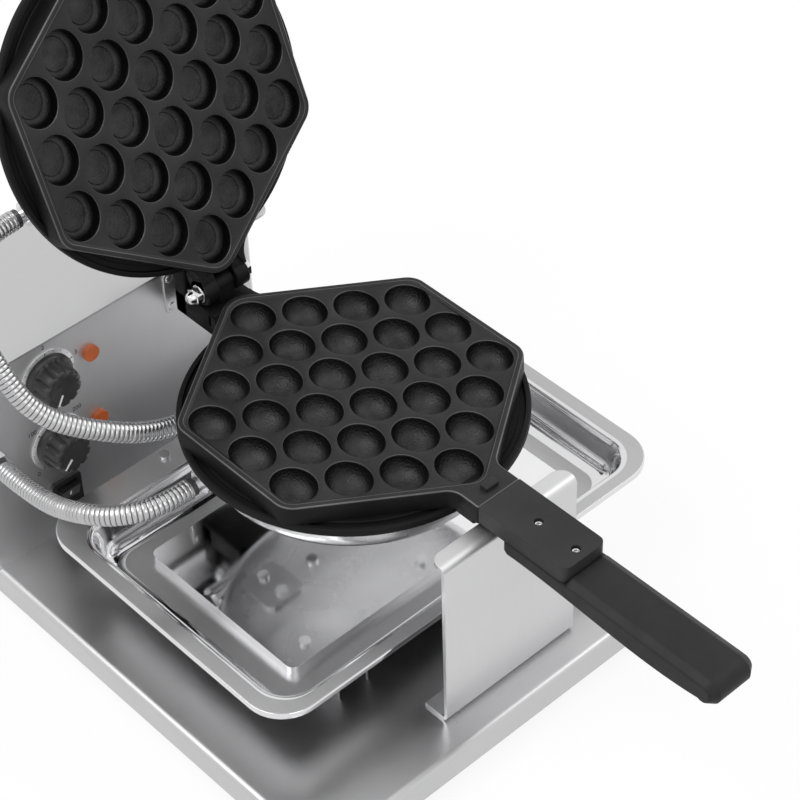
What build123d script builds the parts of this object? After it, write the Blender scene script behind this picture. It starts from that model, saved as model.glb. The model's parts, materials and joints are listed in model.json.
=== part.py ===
"""Rotating bubble waffle maker: two cast pans hinged at the rear, turned on a shaft in a
stainless housing, over a drip pan on a low base. Millimetres, ground at z = 0, +Y to the rear.
"""
from build123d import *
from math import cos, radians, sin, tan
import os

os.makedirs("parts", exist_ok=True)

# Placing: the pans' turning axis runs along Y through PAN_X at height PAN_Z
PAN_X = 5.0
PAN_Y = 3.6
PAN_Z = 177.0
FACE_GAP = 0.3            # between two bodies whose faces close on each other
SLIDE_FIT = 0.05          # radial clearance of a pin or shaft in its bore
BOLT_FIT = 0.3            # radial clearance of a screw in a plain hole
OPEN_ANGLE = 112.5        # lid from closed to fully open, as photographed

# Cast pans: a hexagonal block on a round plate
HEX_FLAT = 95.4           # centre to the two side walls
HEX_TIP = 114.5           # centre to the front and rear corners
HEX_SIDE = 48.0           # half length of the side walls
HEX_CORNER = 14.0
HEX_DEPTH = 13.0
RIM_WIDTH = 4.0
RIM_HEIGHT = 1.2
DISC_RADIUS = 105.0
DISC_DEPTH = 18.0
GROOVE_IN = 97.5
GROOVE_OUT = 101.5
GROOVE_DEPTH = 2.0

# Wells: thirty oval cups in staggered columns
WELL_A = 13.06
WELL_B = 15.24
WELL_DEPTH = 11.8
WELL_PITCH_X = 25.8
WELL_PITCH_Y = 36.0
WELL_COLUMNS = ((-3, 3), (-2, 4), (-1, 5), (0, 6), (1, 5), (2, 4), (3, 3))

# Shank, journal and handle seat at the front of each pan
SHANK_HALF = 16.3
SHANK_DEPTH = 16.5
SHANK_END = 122.6
JOURNAL_LENGTH = 4.2
TANG_HALF = 16.2
TANG_END = 190.3
TANG_THICK = 12.0
TANG_CORNER = 5.0
TANG_GAP = 0.5
HANDLE_SEAT = 7.0
HANDLE_HOLE_FIT = 0.15
HANDLE_SCREWS = (153.7, 182.5)
HANDLE_HEAD_RADIUS = 2.6
HANDLE_HEAD_HEIGHT = 2.4
HANDLE_SHANK_RADIUS = 1.9
HANDLE_SCREW_REACH = 7.0
LUG_WIDTH = 10.0
LUG_LENGTH = 6.0
LUG_HEIGHT = 3.0
LUG_PLACE = 114.7
LUG_FIT = 0.5
LUG_TAPER = 6.0

# Grip under and beyond the tang
GRIP_HALF = 16.8
GRIP_START = 140.0
GRIP_END = 300.0
GRIP_REAR_DEPTH = 22.0
GRIP_BELLY = 27.4
GRIP_BELLY_PLACE = 240.0
GRIP_CROWN = 8.0
GRIP_EDGE = 5.0

# Hinge at the rear of the pans
NECK_HALF = 16.5
NECK_DEPTH = 20.0
LID_NECK_DEPTH = 18.0
NECK_START = 104.4
HEEL_CUT_NEAR = 97.0
HEEL_CUT_FAR = 112.0
UPSTAND_FRONT = 134.0
UPSTAND_REAR = 146.0
UPSTAND_TOP = 19.0
HINGE_Y = 119.5
HINGE_Z = 9.5
HINGE_PIN_RADIUS = 3.5
LUG_HALF = 6.5
LUG_TOP_RADIUS = 6.0
EAR_RADIUS = 8.9
EAR_GAP = 0.3
FORK_START = 104.0
HEX_HEAD_RADIUS = 6.0
HEX_HEAD_HEIGHT = 5.0
WASHER_RADIUS = 8.0
WASHER_THICK = 1.6
DOME_RADIUS = 5.2
DOME_NUT_HEIGHT = 6.0
DOME_REACH = 9.0

# Heating ring, its cover dish and the terminal box on the cover
RING_RADIUS = 64.0
RING_WIDTH = 9.0
RING_HEIGHT = 7.5
COVER_RADIUS = 96.0
COVER_FLANGE = 103.6
COVER_DEPTH = 42.0
COVER_CORNER = 9.0
COVER_SHEET = 1.0
COVER_TAPER = 4.0
COVER_SCREWS = 4
COVER_SCREW_CIRCLE = 50.0
COVER_SCREW_RADIUS = 2.0
COVER_SCREW_HEAD = 4.0
COVER_SCREW_HEIGHT = 2.4
COVER_SCREW_REACH = 10.0
COVER_POST_RADIUS = 5.0
STUD_RADIUS = 3.0
STUD_HEIGHT = 7.0
STUD_ANGLES = (205, 225)
HATCH_X = 34.0
HATCH_Y = -50.0
HATCH_WIDTH = 30.0
HATCH_LENGTH = 32.0
HATCH_HEIGHT = 3.0
HATCH_CORNER = 5.0
HATCH_SCREW = 9.0

# Ribbed hoses
HOSE_RADIUS = 6.4
HOSE_ROOT = 5.3
HOSE_BORE = 4.2
RIB_PITCH = 6.0
FERRULE_RADIUS = 4.9
FERRULE_BORE = 3.6
SLEEVE_RADIUS = 8.0
FERRULE_DEPTH = 33.5
FEED_FERRULE = (-30.0, 78.0, 95.0, 100.0)
LINK_FERRULE = (-75.0, 42.0, 64.0, 66.0)

# Shaft and bearing in the housing
SHAFT_RADIUS = 6.5
SHAFT_END = 215.0
BEARING_RADIUS = 8.8
BEARING_WIDTH = 46.0
BEARING_HEIGHT = 36.0
BEARING_DROP = 9.5
BEARING_CORNER = 6.0
BEARING_BOLT_X = 16.0
BEARING_BOLT_RISE = 11.0
BEARING_DEPTH = 38.0
BEARING_BOLT_RADIUS = 2.5
SHAFT_NUT_RADIUS = 10.0
SHAFT_NUT_HEIGHT = 10.0

# Base and feet
BASE_TOP = 30.0
BASE_BOTTOM = 10.0
BASE_LEFT = -170.0
BASE_RIGHT = 108.0
BASE_FRONT = -153.0
BASE_CORNER = 15.0
SHEET = 1.5
FOOT_RADIUS = 13.0
FOOT_SOLE_RADIUS = 15.0
FOOT_INSET = 24.0

# Front rest: a bent strip that the shank lies on
REST_HALF = 52.7
REST_FACE = -132.8
REST_FLANGE = 13.0
REST_FOOT = 24.0
REST_SHEET = 2.5
REST_BEND = 5.0
REST_CORNER = 8.0

# Drip pan and the loose mirror plate in it
PAN_CENTRE_X = 5.0
PAN_OUT_X = 157.6
PAN_IN_X = 145.0
PAN_OUT_FRONT = -101.6
PAN_OUT_REAR = 123.0
PAN_IN_FRONT = -91.0
PAN_IN_REAR = 99.5
PAN_RIM = 81.0
PAN_FLOOR = 56.0
PAN_CORNER = 26.0
PAN_IN_CORNER = 20.0
PAN_LIP = 4.0
PAN_SHEET = 1.2
PAN_TAPER = 10.0
PAN_RUNNER_X = 80.0
PAN_RUNNER_HALF = 12.0
PAN_SCREW_X = 65.0
PAN_SCREW_INSET = 8.0
PLATE_HALF_X = 114.0
PLATE_FRONT = -61.5
PLATE_REAR = 71.0
PLATE_TOP = 63.0
PLATE_CORNER = 5.0

# Housing
HOUSING_LEFT = -170.0
HOUSING_RIGHT = 50.0
HOUSING_FRONT = 152.0
HOUSING_REAR = 252.0
HOUSING_TOP = 187.5
TOP_SHEET = 1.5
TOP_RIGHT = 65.0
TOP_FRONT = 148.0
TOP_OVER = 2.6
TOP_CORNER = 8.0
LOUVRES = 7
LOUVRE_WIDTH = 70.0
LOUVRE_HEIGHT = 4.0
LOUVRE_PITCH = 10.0

# Controls on the left part of the housing front
PANEL_X = -112.0
TIMER_Z = 158.0
THERMOSTAT_Z = 104.0
SWITCH_Z = 58.0
DIAL_RADIUS = 20.0
DIAL_THICK = 1.0
KNOB_RADIUS = 14.0
KNOB_HEIGHT = 16.0
KNOB_SKIRT = 17.0
KNOB_FLUTES = 10
SPINDLE_RADIUS = 3.0
SPINDLE_LENGTH = 14.0
CONTROL_BODY = 36.0
SWITCH_WIDTH = 15.0
SWITCH_LENGTH = 22.0
SWITCH_BEZEL = 2.5
LAMP_X = -80.0
LAMP_RADIUS = 4.0
OUTLET_X = -157.8
OUTLET_Z = 116.5
OUTLET_LENGTH = 6.0
GLAND_X = -140.0
GLAND_Z = 55.0
GLAND_RADIUS = 9.0
GLAND_BORE = 4.0

SMALL_SCREW = 1.8
SMALL_HEAD = 3.6
SMALL_HEAD_HEIGHT = 2.0
BEARING_HEAD = 4.2
BEARING_HEAD_HEIGHT = 3.0
FOOT_PEG = 3.0
BASE_EDGE = 4.0
REST_TOP = 160.0
REST_SCREW_Y = -116.0
REST_SCREWS = (-35.0, 35.0)
PAN_FLOOR_CORNER = 8.0
RAIL_SHEET = 1.5
RAIL_REACH = 75.0
RAIL_ANGLE_HALF = 80.0
RAIL_ANGLE_INSET = 3.0
RAIL_ANGLE_FLANGE = 16.0
LIP_WIDTH = 14.0
LIP_INSET = 8.0
HOUSING_BEND = 3.0
LAMP_COLLAR = 1.5
LAMP_DEPTH = 12.0
LAMP_LENS = 3.0
OUTLET_THREAD = 6.0
OUTLET_NUT = 9.0
OUTLET_REACH = 8.0
SWITCH_WALL = 1.5
SWITCH_FLANGE = 3.5
SWITCH_DEPTH = 14.0
SWITCH_CAVITY = 10.0
GLAND_FLANGE = 4.0
GLAND_THREAD = 6.5
GLAND_LENGTH = 14.0
KNOB_SKIRT_HEIGHT = 4.0
KNOB_FLUTE = 2.2
KNOB_CAP = 4.0
CONTROL_CORNER = 4.0
CONTROL_DEPTH = 28.0
ROCKER_TILT = 8.0
ROCKER_REACH = 10.0
ROCKER_RISE = 5.5
ROCKER_DIP = 1.6
ROCKER_ROOT = 5.0
BLOCK_X = 0.0
BLOCK_Y = 225.0
BLOCK_LENGTH = 60.0
BLOCK_WIDTH = 22.0
BLOCK_HEIGHT = 18.0
BLOCK_WAYS = 5
BLOCK_SCREW = 2.5
BEND_SHARE = 0.45

FLOOR = Plane((PAN_X, PAN_Y, 0))
LOWER = Plane((PAN_X, PAN_Y, PAN_Z), x_dir=(1, 0, 0), z_dir=(0, 0, -1))
HINGE = Plane((PAN_X, PAN_Y + HINGE_Y, PAN_Z + HINGE_Z), x_dir=(1, 0, 0), z_dir=(0, 0, 1))


def lid_plane(angle):
    """Parting face of the lid, opened by an angle about the hinge pin."""
    turned = HINGE.rotated((-angle, 0, 0))
    centre = turned.from_local_coords(Vector(0, -HINGE_Y, FACE_GAP - HINGE_Z))
    return Plane(centre, x_dir=(-1, 0, 0), z_dir=turned.z_dir)


UPPER = lid_plane(OPEN_ANGLE)


def side_of(frame):
    """Plane of a side profile: its X is the frame's Y, its Y the frame's Z."""
    return Plane(frame.origin, x_dir=frame.y_dir, z_dir=frame.x_dir)


def across(frame, y):
    """Plane square to the frame's Y at y, facing along Y: its X runs along the frame's X."""
    origin = frame.from_local_coords(Vector(0, y, 0))
    return Plane(origin, x_dir=frame.x_dir, z_dir=frame.y_dir)


def finish(builder, name):
    """Label a finished piece and write it."""
    builder.part.label = name
    export_step(builder.part, f"parts/{name}.step")


def well_points():
    """Centres of the wells, column by column."""
    points = []
    for column, count in WELL_COLUMNS:
        for row in range(count):
            points.append((column * WELL_PITCH_X, (row - (count - 1) / 2) * WELL_PITCH_Y))
    return points


def post(plane, x, y, radius, length):
    """Round pin on a plane, along its Z, added to the part being built."""
    with BuildSketch(plane) as circle:
        with Locations((x, y)):
            Circle(radius)
    extrude(circle.sketch, amount=length)


def bore(plane, x, y, radius, length):
    """Round hole from a plane, along its Z, cut from the part being built."""
    with BuildSketch(plane) as circle:
        with Locations((x, y)):
            Circle(radius)
    extrude(circle.sketch, amount=length, mode=Mode.SUBTRACT)


def hexagon_outline():
    """Plan outline of the raised block, corners still sharp."""
    return ((HEX_FLAT, HEX_SIDE), (0, HEX_TIP), (-HEX_FLAT, HEX_SIDE),
            (-HEX_FLAT, -HEX_SIDE), (0, -HEX_TIP), (HEX_FLAT, -HEX_SIDE))


def well_tools(frame):
    """Solids of the thirty wells, from the parting face down."""
    with BuildPart() as well:
        Sphere(1)
        scale(by=(WELL_A, WELL_B, WELL_DEPTH))
    return [frame * Location((x, y, RIM_HEIGHT)) * well.part for x, y in well_points()]


def post_points():
    """Places of the posts and screws that carry a cover, seen along the frame's Z."""
    return PolarLocations(COVER_SCREW_CIRCLE, COVER_SCREWS)


def make_plate(frame, lid):
    """One cast pan: hexagon on a disc, thirty wells, shank in front and hinge parts behind."""
    neck_depth = LID_NECK_DEPTH if lid else NECK_DEPTH
    neck_end = HINGE_Y if lid else UPSTAND_REAR
    with BuildPart() as plate:
        with BuildSketch(frame) as block:
            with BuildLine():
                Polyline(*hexagon_outline(), close=True)
            make_face()
            fillet(block.vertices(), HEX_CORNER)
        extrude(amount=HEX_DEPTH)
        with BuildSketch(frame.offset(HEX_DEPTH)):
            Circle(DISC_RADIUS)
        extrude(amount=DISC_DEPTH - HEX_DEPTH)
        with BuildSketch(frame.offset(HEX_DEPTH)):
            Circle(GROOVE_OUT)
            Circle(GROOVE_IN, mode=Mode.SUBTRACT)
            with BuildLine():
                Polyline(*hexagon_outline(), close=True)
            make_face(mode=Mode.SUBTRACT)
        extrude(amount=GROOVE_DEPTH, mode=Mode.SUBTRACT)
        with BuildSketch(frame):
            with Locations((0, (SHANK_END - JOURNAL_LENGTH) / 2)):
                Rectangle(2 * SHANK_HALF, SHANK_END - JOURNAL_LENGTH)
        extrude(amount=SHANK_DEPTH)
        with BuildSketch(across(frame, SHANK_END - JOURNAL_LENGTH)):
            Circle(SHANK_DEPTH)
            with Locations((0, SHANK_DEPTH)):
                Rectangle(2 * SHANK_DEPTH, 2 * SHANK_DEPTH, mode=Mode.SUBTRACT)
        extrude(amount=JOURNAL_LENGTH)
        with BuildSketch(frame):
            with Locations((0, -neck_end / 2)):
                Rectangle(2 * NECK_HALF, neck_end)
        extrude(amount=LID_NECK_DEPTH)
        with BuildSketch(frame):
            with Locations((0, -(NECK_START + neck_end) / 2)):
                Rectangle(2 * NECK_HALF, neck_end - NECK_START)
        extrude(amount=neck_depth)
        with BuildSketch(frame) as inside:
            with BuildLine():
                Polyline(*hexagon_outline(), close=True)
            make_face()
            fillet(inside.vertices(), HEX_CORNER)
            offset(amount=-RIM_WIDTH, mode=Mode.REPLACE)
        extrude(amount=RIM_HEIGHT, mode=Mode.SUBTRACT)
        with BuildSketch(frame.offset(DISC_DEPTH)):
            with post_points():
                Circle(COVER_POST_RADIUS)
        extrude(amount=COVER_DEPTH - COVER_SHEET - DISC_DEPTH)
        with BuildSketch(frame.offset(COVER_DEPTH - COVER_SHEET)):
            with post_points():
                Circle(COVER_SCREW_RADIUS + SLIDE_FIT)
        extrude(amount=-COVER_SCREW_REACH, mode=Mode.SUBTRACT)
        if lid:
            add_fork(frame)
        else:
            add_hinge_lug(frame)
        add(well_tools(frame), mode=Mode.SUBTRACT)
    return plate


def add_fork(frame):
    """Barrel, slot and pin bore of the lid's fork, and the socket for the locating lug."""
    pin_plane = side_of(frame).offset(-NECK_HALF)
    pin_height = HINGE_Z - FACE_GAP
    post(pin_plane, -HINGE_Y, pin_height, EAR_RADIUS, 2 * NECK_HALF)
    slot_end = HINGE_Y + EAR_RADIUS + 1
    with BuildSketch(frame.offset(-1)) as slot:
        with Locations((0, -(FORK_START + slot_end) / 2)):
            Rectangle(2 * (LUG_HALF + EAR_GAP), slot_end - FORK_START)
    extrude(slot.sketch, amount=LID_NECK_DEPTH + 2, mode=Mode.SUBTRACT)
    bore(pin_plane, -HINGE_Y, pin_height, HINGE_PIN_RADIUS + SLIDE_FIT, 2 * NECK_HALF)
    with BuildSketch(frame) as socket:
        with Locations((0, LUG_PLACE)):
            Rectangle(LUG_WIDTH + 2 * LUG_FIT, LUG_LENGTH + 2 * LUG_FIT)
    extrude(socket.sketch, amount=LUG_HEIGHT + LUG_FIT, mode=Mode.SUBTRACT)


def add_hinge_lug(frame):
    """Hinge lug, upstand with its stop face, and locating lug of the lower pan."""
    with BuildSketch(frame.offset(-UPSTAND_TOP)) as upstand:
        with Locations((0, -(UPSTAND_FRONT + UPSTAND_REAR) / 2)):
            Rectangle(2 * NECK_HALF, UPSTAND_REAR - UPSTAND_FRONT)
    extrude(upstand.sketch, amount=UPSTAND_TOP + NECK_DEPTH)
    with BuildSketch(UPPER.offset(LID_NECK_DEPTH + FACE_GAP)) as stop:
        with Locations((0, -(HEEL_CUT_NEAR + HEEL_CUT_FAR) / 2)):
            Rectangle(2 * NECK_HALF + 2, HEEL_CUT_FAR - HEEL_CUT_NEAR)
    extrude(stop.sketch, amount=-LID_NECK_DEPTH, mode=Mode.SUBTRACT)
    lug_plane = side_of(frame).offset(-LUG_HALF)
    with BuildSketch(lug_plane) as lug:
        with Locations((-HINGE_Y, -HINGE_Z)):
            Circle(LUG_TOP_RADIUS)
        with Locations((-HINGE_Y, -(HINGE_Z - 1) / 2)):
            Rectangle(2 * LUG_TOP_RADIUS, HINGE_Z + 1)
    extrude(lug.sketch, amount=2 * LUG_HALF)
    bore(lug_plane, -HINGE_Y, -HINGE_Z, HINGE_PIN_RADIUS + SLIDE_FIT, 2 * LUG_HALF)
    with BuildSketch(frame) as locator:
        with Locations((0, LUG_PLACE)):
            Rectangle(LUG_WIDTH, LUG_LENGTH)
    extrude(locator.sketch, amount=-LUG_HEIGHT, taper=LUG_TAPER)


def make_tang(frame):
    """Flat bar that carries the grip, with two counterbored screw holes."""
    with BuildPart() as tang:
        with BuildSketch(frame) as outline:
            with Locations((0, (SHANK_END + TANG_END) / 2)):
                Rectangle(2 * TANG_HALF, TANG_END - SHANK_END)
            corners = outline.vertices().sort_by(Axis.Y)
            fillet(corners[-2:] if corners[-1].Y > TANG_END - 1 else corners[:2], TANG_CORNER)
        extrude(amount=TANG_THICK)
        with BuildSketch(frame):
            with Locations(*[(0, y) for y in HANDLE_SCREWS]):
                Circle(HANDLE_HEAD_RADIUS + HANDLE_HOLE_FIT)
        extrude(amount=HANDLE_SEAT, mode=Mode.SUBTRACT)
        with BuildSketch(frame):
            with Locations(*[(0, y) for y in HANDLE_SCREWS]):
                Circle(HANDLE_SHANK_RADIUS + BOLT_FIT)
        extrude(amount=TANG_THICK, mode=Mode.SUBTRACT)
    return tang


def make_handle_screws(frame):
    """Two pan-head screws that hold the grip under the tang."""
    with BuildPart() as screws:
        with BuildSketch(frame.offset(HANDLE_SEAT)):
            with Locations(*[(0, y) for y in HANDLE_SCREWS]):
                Circle(HANDLE_HEAD_RADIUS)
        extrude(amount=-HANDLE_HEAD_HEIGHT)
        with BuildSketch(frame.offset(HANDLE_SEAT)):
            with Locations(*[(0, y) for y in HANDLE_SCREWS]):
                Circle(HANDLE_SHANK_RADIUS)
        extrude(amount=TANG_THICK - HANDLE_SEAT + HANDLE_SCREW_REACH)
    return screws


def make_grip(frame):
    """Moulded grip: a long rounded bar, notched for the tang at its inner end."""
    with BuildPart() as grip:
        with BuildSketch(side_of(frame).offset(-GRIP_HALF)):
            with BuildLine():
                heel = Line((GRIP_START, GRIP_CROWN), (GRIP_START, GRIP_REAR_DEPTH - 3))
                toe = Line(heel @ 1, (GRIP_START + 4, GRIP_REAR_DEPTH + 1.5))
                belly = Spline(toe @ 1, (TANG_END, GRIP_BELLY - 3), (GRIP_BELLY_PLACE, GRIP_BELLY),
                               (GRIP_END - 12, GRIP_BELLY - 2))
                nose = ThreePointArc(belly @ 1, (GRIP_END, (GRIP_BELLY + GRIP_CROWN) / 2),
                                     (GRIP_END - 9, GRIP_CROWN))
                Line(nose @ 1, heel @ 0)
            make_face()
        extrude(amount=2 * GRIP_HALF)
        chamfer(grip.faces().filter_by(Axis.X).edges(), GRIP_EDGE, GRIP_EDGE * 0.7)
        with BuildSketch(frame.offset(-1)):
            with Locations((0, (GRIP_START - 1 + TANG_END + TANG_GAP) / 2)):
                Rectangle(2 * GRIP_HALF + 2, TANG_END + TANG_GAP - GRIP_START + 1)
        extrude(amount=TANG_THICK + 1, mode=Mode.SUBTRACT)
        with BuildSketch(frame.offset(TANG_THICK)):
            with Locations(*[(0, y) for y in HANDLE_SCREWS]):
                Circle(HANDLE_SHANK_RADIUS + SLIDE_FIT)
        extrude(amount=HANDLE_SCREW_REACH + 1, mode=Mode.SUBTRACT)
    return grip


def make_ring(frame):
    """Heating ring clamped under the pan, with two connection studs."""
    with BuildPart() as ring:
        with BuildSketch(frame.offset(DISC_DEPTH)):
            Circle(RING_RADIUS + RING_WIDTH / 2)
            Circle(RING_RADIUS - RING_WIDTH / 2, mode=Mode.SUBTRACT)
        extrude(amount=RING_HEIGHT)
        with BuildSketch(frame.offset(DISC_DEPTH + RING_HEIGHT)):
            with Locations(*[(RING_RADIUS * cos(radians(a)), RING_RADIUS * sin(radians(a)))
                             for a in STUD_ANGLES]):
                Circle(STUD_RADIUS)
        extrude(amount=STUD_HEIGHT)
    return ring


def make_cover(frame, ferrules):
    """Pressed cover dish under a pan, with holes for its screws and the hose ferrules."""
    with BuildPart() as cavity:
        add(dish_solid(frame, COVER_SHEET))
    with BuildPart() as cover:
        add(dish_solid(frame, 0))
        with BuildSketch(frame.offset(DISC_DEPTH)):
            Circle(COVER_FLANGE)
        extrude(amount=COVER_SHEET)
        add(cavity.part, mode=Mode.SUBTRACT)
        with BuildSketch(frame.offset(COVER_DEPTH)):
            with post_points():
                Circle(COVER_SCREW_RADIUS + BOLT_FIT)
        extrude(amount=-2 * COVER_SHEET, mode=Mode.SUBTRACT)
        for y, inner, sleeve, end in ferrules:
            bore(ferrule_plane(frame, inner, y), 0, 0, SLEEVE_RADIUS + SLIDE_FIT, sleeve - inner)
    return cover


def dish_solid(frame, shrink):
    """Solid of the cover dish, smaller on every side by shrink."""
    with BuildPart() as dish:
        with BuildSketch(side_of(frame)):
            with BuildLine():
                Polyline((0, DISC_DEPTH), (COVER_RADIUS - shrink, DISC_DEPTH),
                         (COVER_RADIUS - COVER_TAPER - shrink, COVER_DEPTH - shrink),
                         (0, COVER_DEPTH - shrink), close=True)
            make_face()
        revolve(axis=Axis(frame.origin, frame.z_dir))
        fillet(dish.edges().sort_by(Axis(frame.origin, frame.z_dir))[-1], COVER_CORNER - shrink)
    return dish.part


def ferrule_plane(frame, x, y):
    """Plane on a ferrule's axis at a distance x from the pans' axis, facing the world's left."""
    left = -1 if frame.x_dir.X > 0 else 1
    centre = frame.from_local_coords(Vector(left * x, y, FERRULE_DEPTH))
    return Plane(centre, x_dir=frame.y_dir, z_dir=frame.x_dir * left)


def make_ferrules(frame, ferrules):
    """Sleeves through the cover's wall with the smooth ends that the hoses meet."""
    with BuildPart() as fittings:
        for y, inner, sleeve, end in ferrules:
            wall = ferrule_plane(frame, inner, y)
            post(wall, 0, 0, SLEEVE_RADIUS, sleeve - inner)
            post(wall, 0, 0, FERRULE_RADIUS, end - inner)
            bore(wall, 0, 0, FERRULE_BORE, end - inner)
    return fittings


def make_hatch(frame):
    """Small cover plate over the connections, on the outside of the dish."""
    left = -1 if frame.x_dir.X > 0 else 1
    with BuildPart() as hatch:
        with BuildSketch(frame.offset(COVER_DEPTH)):
            with Locations((left * HATCH_X, HATCH_Y)):
                RectangleRounded(HATCH_WIDTH, HATCH_LENGTH, HATCH_CORNER)
        extrude(amount=HATCH_HEIGHT)
    return hatch


def make_cover_screws(frame):
    """Screws through the dish into its posts, and two on the hatch."""
    left = -1 if frame.x_dir.X > 0 else 1
    with BuildPart() as screws:
        with BuildSketch(frame.offset(COVER_DEPTH)):
            with post_points():
                Circle(COVER_SCREW_HEAD)
        extrude(amount=COVER_SCREW_HEIGHT)
        with BuildSketch(frame.offset(COVER_DEPTH)):
            with post_points():
                Circle(COVER_SCREW_RADIUS)
        extrude(amount=-COVER_SCREW_REACH)
        with BuildSketch(frame.offset(COVER_DEPTH + HATCH_HEIGHT)):
            with Locations((left * HATCH_X, HATCH_Y + HATCH_SCREW),
                           (left * HATCH_X, HATCH_Y - HATCH_SCREW)):
                Circle(COVER_SCREW_HEAD)
        extrude(amount=COVER_SCREW_HEIGHT)
    return screws


def export_pan(frame, name, lid, ferrules):
    """Write every piece of one pan under its name."""
    finish(make_plate(frame, lid), f"{name}_plate")
    finish(make_tang(frame), f"{name}_handle_bar")
    finish(make_handle_screws(frame), f"{name}_handle_screws")
    finish(make_grip(frame), f"{name}_grip")
    finish(make_ring(frame), f"{name}_heating_ring")
    finish(make_cover(frame, ferrules), f"{name}_cover")
    finish(make_cover_screws(frame), f"{name}_cover_screws")
    finish(make_hatch(frame), f"{name}_hatch")
    finish(make_ferrules(frame, ferrules), f"{name}_ferrules")


def make_screws(places, head, height, radius, reach):
    """Round-head screws: a place is a plane on the seat, facing out, with a point on it."""
    with BuildPart() as screws:
        for plane, x, y in places:
            post(plane, x, y, head, height)
            post(plane, x, y, radius, -reach)
    return screws


export_pan(LOWER, "lower", False, (FEED_FERRULE, LINK_FERRULE))
export_pan(UPPER, "upper", True, (FEED_FERRULE,))

# Hinge pin: hexagon head on the right, washer and domed nut on the left
with BuildPart() as hinge_bolt:
    post(Plane(HINGE.origin, z_dir=(1, 0, 0)), 0, 0, HINGE_PIN_RADIUS, NECK_HALF)
    post(Plane(HINGE.origin, z_dir=(1, 0, 0)), 0, 0, HINGE_PIN_RADIUS, -NECK_HALF - DOME_REACH)
    with BuildSketch(Plane(HINGE.origin, z_dir=(1, 0, 0)).offset(NECK_HALF)):
        RegularPolygon(HEX_HEAD_RADIUS, 6)
    extrude(amount=HEX_HEAD_HEIGHT)
finish(hinge_bolt, "hinge_bolt")

LEFT_END = Plane(HINGE.origin, z_dir=(-1, 0, 0)).offset(NECK_HALF)
with BuildPart() as hinge_nut:
    post(LEFT_END, 0, 0, WASHER_RADIUS, WASHER_THICK)
    with BuildSketch(LEFT_END.offset(WASHER_THICK)):
        RegularPolygon(HEX_HEAD_RADIUS, 6)
    extrude(amount=HEX_HEAD_HEIGHT)
    with BuildSketch(LEFT_END.offset(WASHER_THICK + HEX_HEAD_HEIGHT)):
        Circle(DOME_RADIUS)
    extrude(amount=DOME_NUT_HEIGHT)
    fillet(hinge_nut.edges().sort_by(Axis.X)[0], DOME_RADIUS - 1.2)
    bore(LEFT_END, 0, 0, HINGE_PIN_RADIUS + SLIDE_FIT, DOME_REACH)
finish(hinge_nut, "hinge_nut")

# Turning shaft, its bearing in the housing front and the nut behind it
AXIS = Plane((PAN_X, PAN_Y, PAN_Z), x_dir=(1, 0, 0), z_dir=(0, -1, 0))
with BuildPart() as turning_shaft:
    post(AXIS.offset(-SHAFT_END), 0, 0, SHAFT_RADIUS, SHAFT_END - UPSTAND_REAR)
finish(turning_shaft, "turning_shaft")

BEARING_FRONT = UPSTAND_REAR + FACE_GAP
BEARING_BOLTS = [(x, y - BEARING_DROP) for x in (-BEARING_BOLT_X, BEARING_BOLT_X)
                 for y in (-BEARING_BOLT_RISE, BEARING_BOLT_RISE)]
with BuildPart() as bearing:
    with BuildSketch(AXIS.offset(-HOUSING_FRONT)):
        with Locations((0, -BEARING_DROP)):
            RectangleRounded(BEARING_WIDTH, BEARING_HEIGHT, BEARING_CORNER)
    extrude(amount=HOUSING_FRONT - BEARING_FRONT)
    post(AXIS.offset(-HOUSING_FRONT), 0, 0, BEARING_RADIUS, -BEARING_DEPTH)
    bore(AXIS.offset(-BEARING_FRONT), 0, 0, SHAFT_RADIUS + SLIDE_FIT, -2 * BEARING_DEPTH)
    for x, y in BEARING_BOLTS:
        bore(AXIS.offset(-BEARING_FRONT), x, y, BEARING_BOLT_RADIUS + BOLT_FIT, -BEARING_DEPTH)
        bore(AXIS.offset(-BEARING_FRONT), x, y, BEARING_HEAD + BOLT_FIT, -BEARING_HEAD_HEIGHT)
finish(bearing, "bearing")
finish(make_screws([(AXIS.offset(-BEARING_FRONT - BEARING_HEAD_HEIGHT), x, y) for x, y in BEARING_BOLTS],
                   BEARING_HEAD, BEARING_HEAD_HEIGHT, BEARING_BOLT_RADIUS,
                   HOUSING_FRONT + SHEET + 2 - BEARING_FRONT - BEARING_HEAD_HEIGHT), "bearing_screws")

NUT_FRONT = HOUSING_FRONT + BEARING_DEPTH + FACE_GAP
with BuildPart() as shaft_nut:
    with BuildSketch(AXIS.offset(-NUT_FRONT)):
        RegularPolygon(SHAFT_NUT_RADIUS, 6)
    extrude(amount=-SHAFT_NUT_HEIGHT)
    bore(AXIS.offset(-NUT_FRONT), 0, 0, SHAFT_RADIUS + SLIDE_FIT, -SHAFT_NUT_HEIGHT)
finish(shaft_nut, "shaft_nut")


def sheet_box(left, right, front, rear):
    """Centre and size of a rectangle on the floor plane."""
    return ((left + right) / 2, (front + rear) / 2), right - left, rear - front


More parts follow.
